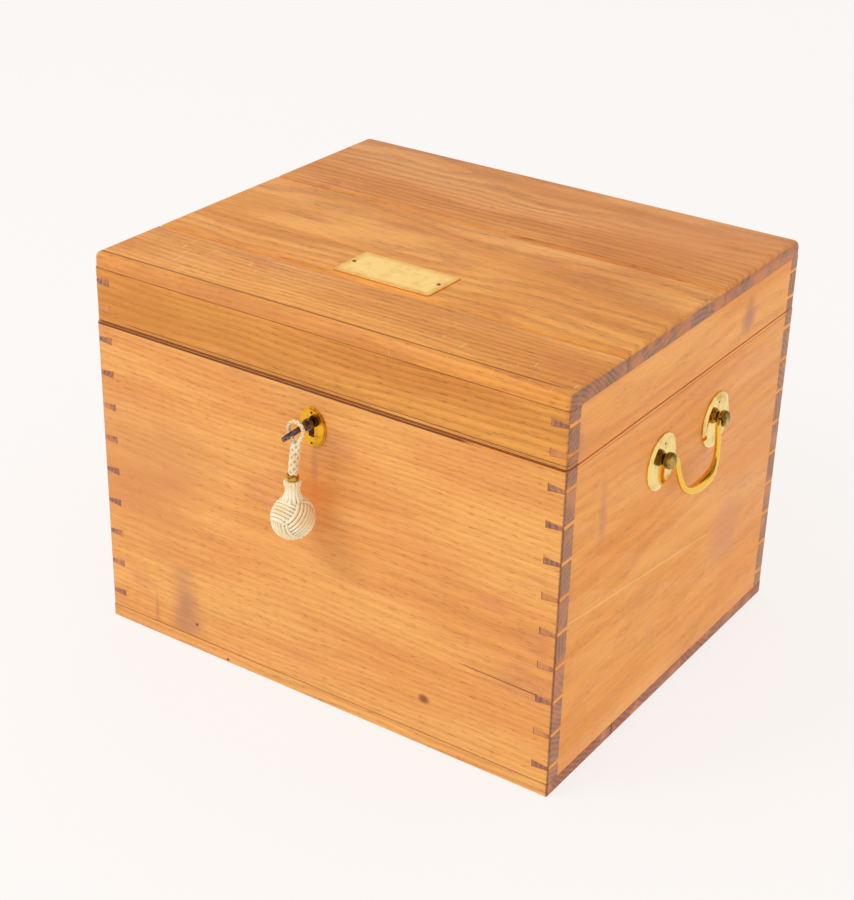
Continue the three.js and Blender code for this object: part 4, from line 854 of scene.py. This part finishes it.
def copies(name, part, places, turns, axis, material):
    """A plain mesh of copies of a small part: Geometry Nodes put one on each place, turned about
    its own upright and then tipped to point along the axis."""
    tree = bpy.data.node_groups.new("copies_on_places", "GeometryNodeTree")
    tree.interface.new_socket("Mesh", in_out="OUTPUT", socket_type="NodeSocketGeometry")
    tree.interface.new_socket("Places", in_out="INPUT", socket_type="NodeSocketGeometry")
    tipped = Vector((0, 0, 1)).rotation_difference(Vector(axis)).to_euler()
    part.materials.append(material)
    part_holder = bpy.data.objects.new("part", part)
    values = {}
    for label, kind, value in (("Part", "Object", part_holder), ("Tip", "Vector", list(tipped)),
                               ("Material", "Material", material)):
        socket = tree.interface.new_socket(label, in_out="INPUT", socket_type="NodeSocket" + kind)
        values[socket.identifier] = value
    given = add(tree, "NodeGroupInput").outputs
    shape = add(tree, "GeometryNodeObjectInfo", {"Object": given["Part"]}).outputs["Geometry"]
    turn = add(tree, "GeometryNodeInputNamedAttribute", {"Name": "turn"}, data_type="FLOAT")
    placed = add(tree, "GeometryNodeInstanceOnPoints", {
        "Points": given["Places"], "Instance": shape, "Rotation": given["Tip"]})
    placed = add(tree, "GeometryNodeRotateInstances", {
        "Instances": placed, "Rotation": add(tree, "CombineXYZ", (0.0, 0.0, turn))})
    whole = add(tree, "GeometryNodeRealizeInstances", (placed,))
    whole = add(tree, "GeometryNodeSetMaterial", {"Geometry": whole, "Material": given["Material"]})
    add(tree, "NodeGroupOutput", (whole,))

    spots = bpy.data.meshes.new("places")
    spots.from_pydata(places, [], [])
    spots.attributes.new("turn", "FLOAT", "POINT").data.foreach_set("value", turns)
    holder = bpy.data.objects.new(name, spots)
    scene.collection.objects.link(holder)
    modifier = holder.modifiers.new("copies", "NODES")
    modifier.node_group = tree
    for identifier, value in values.items():
        modifier[identifier] = value
    graph = bpy.context.evaluated_depsgraph_get()
    data = bpy.data.meshes.new_from_object(holder.evaluated_get(graph), depsgraph=graph)
    for used in (holder, part_holder):
        bpy.data.objects.remove(used)
    for used in (spots, part):
        bpy.data.meshes.remove(used)
    bpy.data.node_groups.remove(tree)
    data.attributes.remove(data.attributes["turn"])
    data.name = name
    return data


def screws(name, places, axis, radius, rise, body, material):
    """A set of screw heads that face the same way, each with its slot turned its own way."""
    turns = [0.5 + 1.9 * index for index in range(len(places))]
    data = copies(name, screw_head(radius, rise), places, turns, axis, material)
    data.shade_flat()
    show(name, data, None, body)


# Plate brass: the toning keeps to the plate's edge, and clouds over one end.
plate_toning = 7 * mm


def plate_material(name, low, high):
    material, tree = new_material(name)
    place = add(tree, "TexCoord").outputs["Object"]
    spot = add(tree, "SeparateXYZ", (place,))
    cloud = add(tree, "TexNoise", {"Vector": place, "Scale": 1 / (7 * mm), "Detail": 4.0,
                                   "Roughness": 0.6})
    edges = []
    for axis in (0, 1):
        middle, half_size = (low[axis] + high[axis]) / 2, (high[axis] - low[axis]) / 2
        off = add(tree, "Math", (spot.outputs[axis], middle), operation="SUBTRACT")
        off = add(tree, "Math", (off,), operation="ABSOLUTE")
        edges.append(add(tree, "MapRange", (off, half_size - plate_toning, half_size), **smooth))
    edge = add(tree, "Math", edges, operation="MAXIMUM")
    toned = add(tree, "MapRange", (add(tree, "Math", (edge, cloud), **times), 0.1, 0.75))
    blotch = add(tree, "MapRange", (cloud, 0.5, 0.75, 0.0, 0.45))
    share = add(tree, "Math", (toned, blotch), operation="MAXIMUM")
    metal_surface(tree, place, share, "#ffdc88", "#eaa836", (0.26, 0.42), 0.5 * mm, 0.1, 0.04 * mm)
    return material


plate_low, plate_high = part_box("name_plate")
plate_screw_y = -54 * mm
finished("name_plate", plate_material("rolled_brass_plate", plate_low, plate_high), 0.15 * mm)
screw_brass = brass_material("screw_brass", "#b98a3c", "#6b4418", 0.22, 0.2, 3 * mm)
screws("name_plate_screws", [(x * mm, plate_screw_y, plate_high.z) for x in (-28.5, 26.1)],
       (0, 0, 1), 1.2 * mm, 0.28 * mm, "lid", screw_brass)


# Escutcheon and lock: an oval brass plate pinned over the keyhole, and a chest lock behind the
# front board, which throws its bolt through the staple of the link plate under the lid.
escutcheon_brass = brass_material("escutcheon_brass", "#f2b02a", "#b4741a", 0.09, 0.12, 7 * mm)
lock_brass = brass_material("lock_brass", "#d9ac5c", "#8f6a34", 0.24, 0.2, 9 * mm)


# Steel: filed and polished, then left to brown. It goes dark and purplish where hands hold it.
def steel_material(name, tone, toned, roughness, toning, patch):
    material, tree = new_material(name)
    place = add(tree, "TexCoord").outputs["Object"]
    cloud = add(tree, "TexNoise", {"Vector": place, "Scale": 1 / patch, "Detail": 4.0,
                                   "Roughness": 0.6})
    share = add(tree, "MapRange", (cloud, 0.5 - toning, 0.74 - toning))
    metal_surface(tree, place, share, tone, toned, (roughness, min(roughness + 0.25, 0.8)),
                  0.35 * mm, 0.2)
    return material


bright_steel = steel_material("bright_steel", "#b9b6b2", "#6e6862", 0.25, 0.0, 6 * mm)
finished("escutcheon", escutcheon_brass, 0.35 * mm)
finished("lock_case", lock_brass, 0.2 * mm)
finished("lock_bolt", bright_steel, 0.2 * mm)
finished("link_plate", lock_brass, 0.2 * mm)
plate_low, plate_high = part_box("escutcheon")
pin_x = (plate_low.x + plate_high.x) / 2
lock_screw_y = -111 * mm


def pin_heads(name, profile, places, axis, sides, material):
    """A set of round pin heads on the case that face the same way."""
    pin = lathe("pin", [(r * mm, h * mm) for r, h in profile], sides=sides)
    data = copies(name, pin, places, [0.0] * len(places), axis, material)
    show(name, data, None, "case")


pin_heads("escutcheon_pins", [(0, -0.3), (0.75, -0.3), (0.75, 0.1), (0.5, 0.3), (0, 0.36)],
          [(pin_x, plate_low.y, z) for z in (plate_high.z - 2.6 * mm, plate_low.z + 2.6 * mm)],
          (0, -1, 0), 16, screw_brass)
low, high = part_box("lock_case")
screws("lock_screws", [(x, lock_screw_y, high.z) for x in (low.x + 4 * mm, high.x - 4 * mm)],
       (0, 0, 1), 2 * mm, 0.22 * mm, "case", screw_brass)
low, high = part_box("link_plate")
screws("link_plate_screws",
       [(x, lock_screw_y, seam_high) for x in (low.x + 5 * mm, high.x - 5 * mm)], (0, 0, -1),
       2 * mm, 0.22 * mm, "lid", screw_brass)


# Key: a forged steel pin key with a flat ring bow, brown and bluish with age and bright only
# on the rubbed arrises of the bow.
key_steel = steel_material("browned_steel", "#7d6a68", "#382a30", 0.24, 0.08, 4 * mm)
finished("key", key_steel, 0.25 * mm, sharp_degrees=40)


# Handles: on each side two round cast roses with a turned post in each, and a bail that hangs
# in them with a flattened grip. All are polished brass, gone olive in the hollows.
rose_brass = brass_material("rose_brass", "#f7da86", "#cf9c45", 0.09, 0.02, 11 * mm)
post_brass = brass_material("post_brass", "#d9b04c", "#6a5a26", 0.1, 0.2, 5 * mm)
bail_brass = brass_material("bail_brass", "#f3c650", "#c08a30", 0.08, -0.05, 14 * mm)
rose_pin_profile = [(0, -0.2), (0.8, -0.2), (0.8, 0.06), (0, 0.12)]
for hand, way in (("left", -1), ("right", 1)):
    finished("handle_bail_" + hand, bail_brass, 0, sharp_degrees=60)
    for place in ("front", "rear"):
        finished(f"handle_rose_{hand}_{place}", rose_brass, 0, sharp_degrees=14)
        finished(f"handle_post_{hand}_{place}", post_brass, 0, sharp_degrees=70)
        low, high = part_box(f"handle_rose_{hand}_{place}")
        face = high.x if way > 0 else low.x
        pin_heads(f"handle_rose_pins_{hand}_{place}", rose_pin_profile,
                  [(face, (low.y + high.y) / 2, z) for z in (high.z - 5 * mm, low.z + 5 * mm)],
                  (way, 0, 0), 14, screw_brass)


# Hinges: two brass butts whose leaves are let into the meeting edges, each with three screws,
# and a steel pin through the five knuckles.
hinge_screw_y = 122 * mm
hinge_brass = brass_material("hinge_brass", "#cfa055", "#7d5a2a", 0.22, 0.25, 8 * mm)
for hand in ("left", "right"):
    finished("hinge_case_leaf_" + hand, hinge_brass, 0, sharp_degrees=40)
    finished("hinge_lid_leaf_" + hand, hinge_brass, 0, sharp_degrees=40)
    finished("hinge_pin_" + hand, bright_steel, 0)
    low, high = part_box("hinge_case_leaf_" + hand)
    middle = (low.x + high.x) / 2
    for leaf, body, level, face in (("case", "case", seam_low, 1), ("lid", "lid", seam_high, -1)):
        screws(f"hinge_{leaf}_screws_{hand}", [(middle + step * mm, hinge_screw_y, level)
                                               for step in (-17, 0, 17)],
               (0, 0, face), 1.9 * mm, 0.2 * mm, body, screw_brass)


# Gimbal: a turned brass ring that swings between two brackets on the bearers, and carries the
# bowl on two pivot screws. The lacquer is still clear here, out of the sun.
bracket_plate = 2.5 * mm
gimbal_brass = brass_material("gimbal_brass", "#e2b65a", "#a97c36", 0.16, 0.02, 18 * mm)
finished("gimbal_ring", gimbal_brass, 0.3 * mm, sharp_degrees=40)
for hand, way in (("left", -1), ("right", 1)):
    finished("gimbal_bracket_" + hand, lock_brass, 0.3 * mm)
    low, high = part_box("gimbal_bracket_" + hand)
    face = high.x - bracket_plate if way > 0 else low.x + bracket_plate
    screws("gimbal_bracket_screws_" + hand,
           [(face, y * mm, z) for y in (-10, 10) for z in (low.z + 5 * mm, high.z - 4 * mm)],
           (-way, 0, 0), 2 * mm, 0.3 * mm, "case", screw_brass)
for place in ("front", "rear"):
    finished("bowl_pivot_screw_" + place, bright_steel, 0.15 * mm)


# Bowl and bezel: a spun and turned brass bowl, closed below, with a bezel screwed over its
# mouth. A fine bump of scratches runs over both.
bowl_brass = brass_material("bowl_brass", "#ddb25c", "#98702f", 0.2, 0.05, 24 * mm)
bezel_brass = brass_material("bezel_brass", "#edc466", "#b08538", 0.12, 0.0, 20 * mm)
finished("bowl", bowl_brass, 0.2 * mm, sharp_degrees=40)
finished("bezel", bezel_brass, 0.2 * mm, sharp_degrees=24)


# Glass: a bevelled crown glass in the bezel. It lets light straight through and only mirrors
# at a slant, with a trace of green and a little dust.
glass, tree = new_material("crown_glass")
place = add(tree, "TexCoord").outputs["Object"]
dust = add(tree, "TexNoise", {"Vector": place, "Scale": 1 / (3 * mm), "Detail": 4.0})
haze = add(tree, "MapRange", (dust, 0.45, 0.8, 0.01, 0.05))
clear = add(tree, "BsdfTransparent", (srgb("#fafdfb"),))
mirror = add(tree, "BsdfAnisotropic", {"Color": srgb("#ffffff"), "Roughness": haze})
slant = add(tree, "Fresnel", {"IOR": 1.45})
outer_side = add(tree, "Math", (1.0, add(tree, "NewGeometry").outputs["Backfacing"]),
                 operation="SUBTRACT")
mirrored = add(tree, "Math", (slant, outer_side), **times)
add(tree, "OutputMaterial", (add(tree, "MixShader", (mirrored, clear, mirror)),))
finished("bezel_glass", glass, 0, sharp_degrees=30)


# Dial: a brass disc silvered by hand, so its grain runs in circles, with its lines and
# numerals engraved and filled with black wax. The two small dials take the place of XII and VI.
silver, tree = new_material("silvered_brass")
place = add(tree, "TexCoord").outputs["Object"]
flat = add(tree, "VectorMath", (place, (1, 1, 0)), **times)
radius = add(tree, "VectorMath", (flat,), operation="LENGTH")
rings = add(tree, "TexNoise", {"W": radius, "Scale": 1 / (0.25 * mm), "Detail": 2.0},
            noise_dimensions="1D")
age = add(tree, "TexNoise", {"Vector": place, "Scale": 1 / (16 * mm), "Detail": 4.0})
worn = add(tree, "MapRange", (age, 0.4, 0.75))
colour = add(tree, "Mix", {0: worn, 6: srgb("#ece9df"), 7: srgb("#d8d0ba")}, data_type="RGBA")
grain = add(tree, "Bump", {"Height": rings, "Strength": 0.15, "Distance": 0.03 * mm})
metal = add(tree, "BsdfPrincipled", {"Base Color": colour, "Metallic": 0.2, "Roughness": 0.42,
                                     "Normal": grain})
add(tree, "OutputMaterial", (metal,))
finished("dial", silver, 0.08 * mm)

wax, tree = new_material("black_wax")
shine = add(tree, "TexNoise", {"Vector": add(tree, "TexCoord").outputs["Object"],
                               "Scale": 1 / (2 * mm)})
tone = add(tree, "Mix", {0: shine, 6: srgb("#15130f"), 7: srgb("#2b2721")}, data_type="RGBA")
ink = add(tree, "BsdfPrincipled", {"Base Color": tone, "Roughness": 0.45})
add(tree, "OutputMaterial", (ink,))

wax_stand = 0.03 * mm
dial_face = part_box("dial")[1].z + wax_stand
seconds_centre = (0.0, -28.06 * mm)
reserve_centre = (0.0, 28.52 * mm)
marks = bmesh.new()


def stroke(a, b, width):
    """A flat line from a to b on the dial's face."""
    a, b = Vector(a), Vector(b)
    side = (b - a).orthogonal().normalized() * width / 2
    corners = (a - side, b - side, b + side, a + side)
    marks.faces.new([marks.verts.new((p.x, p.y, dial_face)) for p in corners])


def circle(centre, radius, width, steps=96, start=0.0, stop=360.0):
    """A line round a centre, through a share of the turn, clockwise from twelve."""
    points = []
    for step in range(steps + 1):
        angle = math.radians(start + (stop - start) * step / steps)
        points.append([(centre[0] + reach * math.sin(angle), centre[1] + reach * math.cos(angle))
                       for reach in (radius - width / 2, radius + width / 2)])
    rows = [[marks.verts.new((x, y, dial_face)) for x, y in pair] for pair in points]
    for low, high in zip(rows, rows[1:]):
        marks.faces.new((low[0], low[1], high[1], high[0]))


def ticks(centre, inner, outer, count, each, width, bold, start=0.0, stop=360.0):
    """A division line for each step of a scale, with each so-many-th one bolder."""
    for index in range(count + (0 if stop - start == 360 else 1)):
        angle = math.radians(start + (stop - start) * index / count)
        heading = Vector((math.sin(angle), math.cos(angle)))
        middle = Vector(centre)
        stroke(middle + heading * inner, middle + heading * outer,
               width if index % each else bold)


def numeral(text, angle, inner, height):
    """A Roman numeral that stands on the dial's centre: thick down strokes, thin up strokes."""
    widths = {"I": 0.3, "V": 0.62, "X": 0.6}
    strokes = {"I": [((0, 0), (0, 1), 0.13)],
               "V": [((-0.22, 1), (0, 0), 0.13), ((0.22, 1), (0, 0), 0.05)],
               "X": [((-0.22, 1), (0.22, 0), 0.13), ((0.22, 1), (-0.22, 0), 0.05)]}
    feet = {"I": [(0, 0), (0, 1)], "V": [(-0.22, 1), (0.22, 1)],
            "X": [(-0.22, 1), (0.22, 1), (-0.22, 0), (0.22, 0)]}
    heading = Vector((math.sin(angle), math.cos(angle)))
    side = Vector((heading.y, -heading.x))
    x = -sum(widths[letter] for letter in text) / 2

    def spot(px, py):
        across = (x + widths[letter] / 2 + px) * height * 0.8
        return heading * (inner + py * height) + side * across

    for letter in text:
        for a, b, width in strokes[letter]:
            stroke(spot(*a), spot(*b), width * height)
        for px, py in feet[letter]:
            stroke(spot(px - 0.12, py), spot(px + 0.12, py), 0.04 * height)
        x += widths[letter]


hours = ["", "I", "II", "III", "IIII", "V", "", "VII", "VIII", "IX", "X", "XI"]
for index, text in enumerate(hours):
    if text:
        numeral(text, math.radians(30 * index), 34.2 * mm, 8.2 * mm)
for reach in (44.2, 47.0):
    circle((0, 0), reach * mm, 0.2 * mm, 120)
ticks((0, 0), 44.2 * mm, 47 * mm, 60, 5, 0.22 * mm, 0.7 * mm)
for reach in (11.9, 13.4):
    circle(seconds_centre, reach * mm, 0.16 * mm)
ticks(seconds_centre, 11.9 * mm, 13.4 * mm, 60, 5, 0.14 * mm, 0.4 * mm)
circle(reserve_centre, 9.3 * mm, 0.16 * mm, 64, -150, 150)
ticks(reserve_centre, 8.4 * mm, 9.3 * mm, 28, 4, 0.14 * mm, 0.4 * mm, -150, 150)
for face in marks.faces:
    face.normal_update()
    if face.normal.z < 0:
        face.normal_flip()
engraving = bpy.data.meshes.new("engraving")
marks.to_mesh(engraving)
marks.free()
figures = [engraving]


def figure(text, centre, reach, angle, height):
    """A plain number at a place on a scale, upright as on the dial."""
    curve = bpy.data.curves.new("figure", "FONT")
    curve.body = text
    curve.size = height * 1.4
    curve.align_x = "CENTER"
    curve.align_y = "CENTER"
    curve.resolution_u = 3
    holder = bpy.data.objects.new("figure", curve)
    data = bpy.data.meshes.new_from_object(holder)
    data.transform(Matrix.Translation((centre[0] + reach * math.sin(angle),
                                       centre[1] + reach * math.cos(angle), dial_face)))
    bpy.data.objects.remove(holder)
    bpy.data.curves.remove(curve)
    figures.append(data)


for index in range(12):
    figure(str(5 * index or 60), (0, 0), 50 * mm, math.radians(30 * index), 2.5 * mm)
for index in range(6):
    figure(str(10 * index or 60), seconds_centre, 9.7 * mm, math.radians(60 * index), 1.9 * mm)
for index, text in enumerate(("0", "8", "16", "24", "32", "40", "48", "56")):
    figure(text, reserve_centre, 6.9 * mm, math.radians(-150 + 300 * index / 7), 1.3 * mm)
lines = show("dial_engraving", joined("dial_engraving", figures), wax, "bowl")
lines.data.shade_flat()


# Movement: two gilt plates with the barrel, the fusee and the wheels between them, and the
# balance. It shows only where the bowl is opened, so each part keeps its plain turned form.
gilt_brass = brass_material("gilt_brass", "#e6bd66", "#b58a3e", 0.3, 0.0, 14 * mm)
wheel_brass = brass_material("wheel_brass", "#e9c26a", "#b88e44", 0.22, 0.0, 6 * mm)
for node in ("pillar_plate", "top_plate"):
    finished(node, gilt_brass, 0, sharp_degrees=40)
for node in ("mainspring_barrel", "fusee", "centre_wheel", "seconds_wheel", "balance"):
    finished(node, wheel_brass, 0, sharp_degrees=40)


# Hands: pierced-out and filed steel, blued over a flame and polished, so they turn from black
# to a deep blue as the light strikes them.
blued_steel = steel_material("blued_steel", "#22376e", "#141d3c", 0.2, 0.0, 5 * mm)
for node in ("hour_hand", "minute_hand", "seconds_hand", "up_down_hand"):
    finished(node, blued_steel, 0.06 * mm)
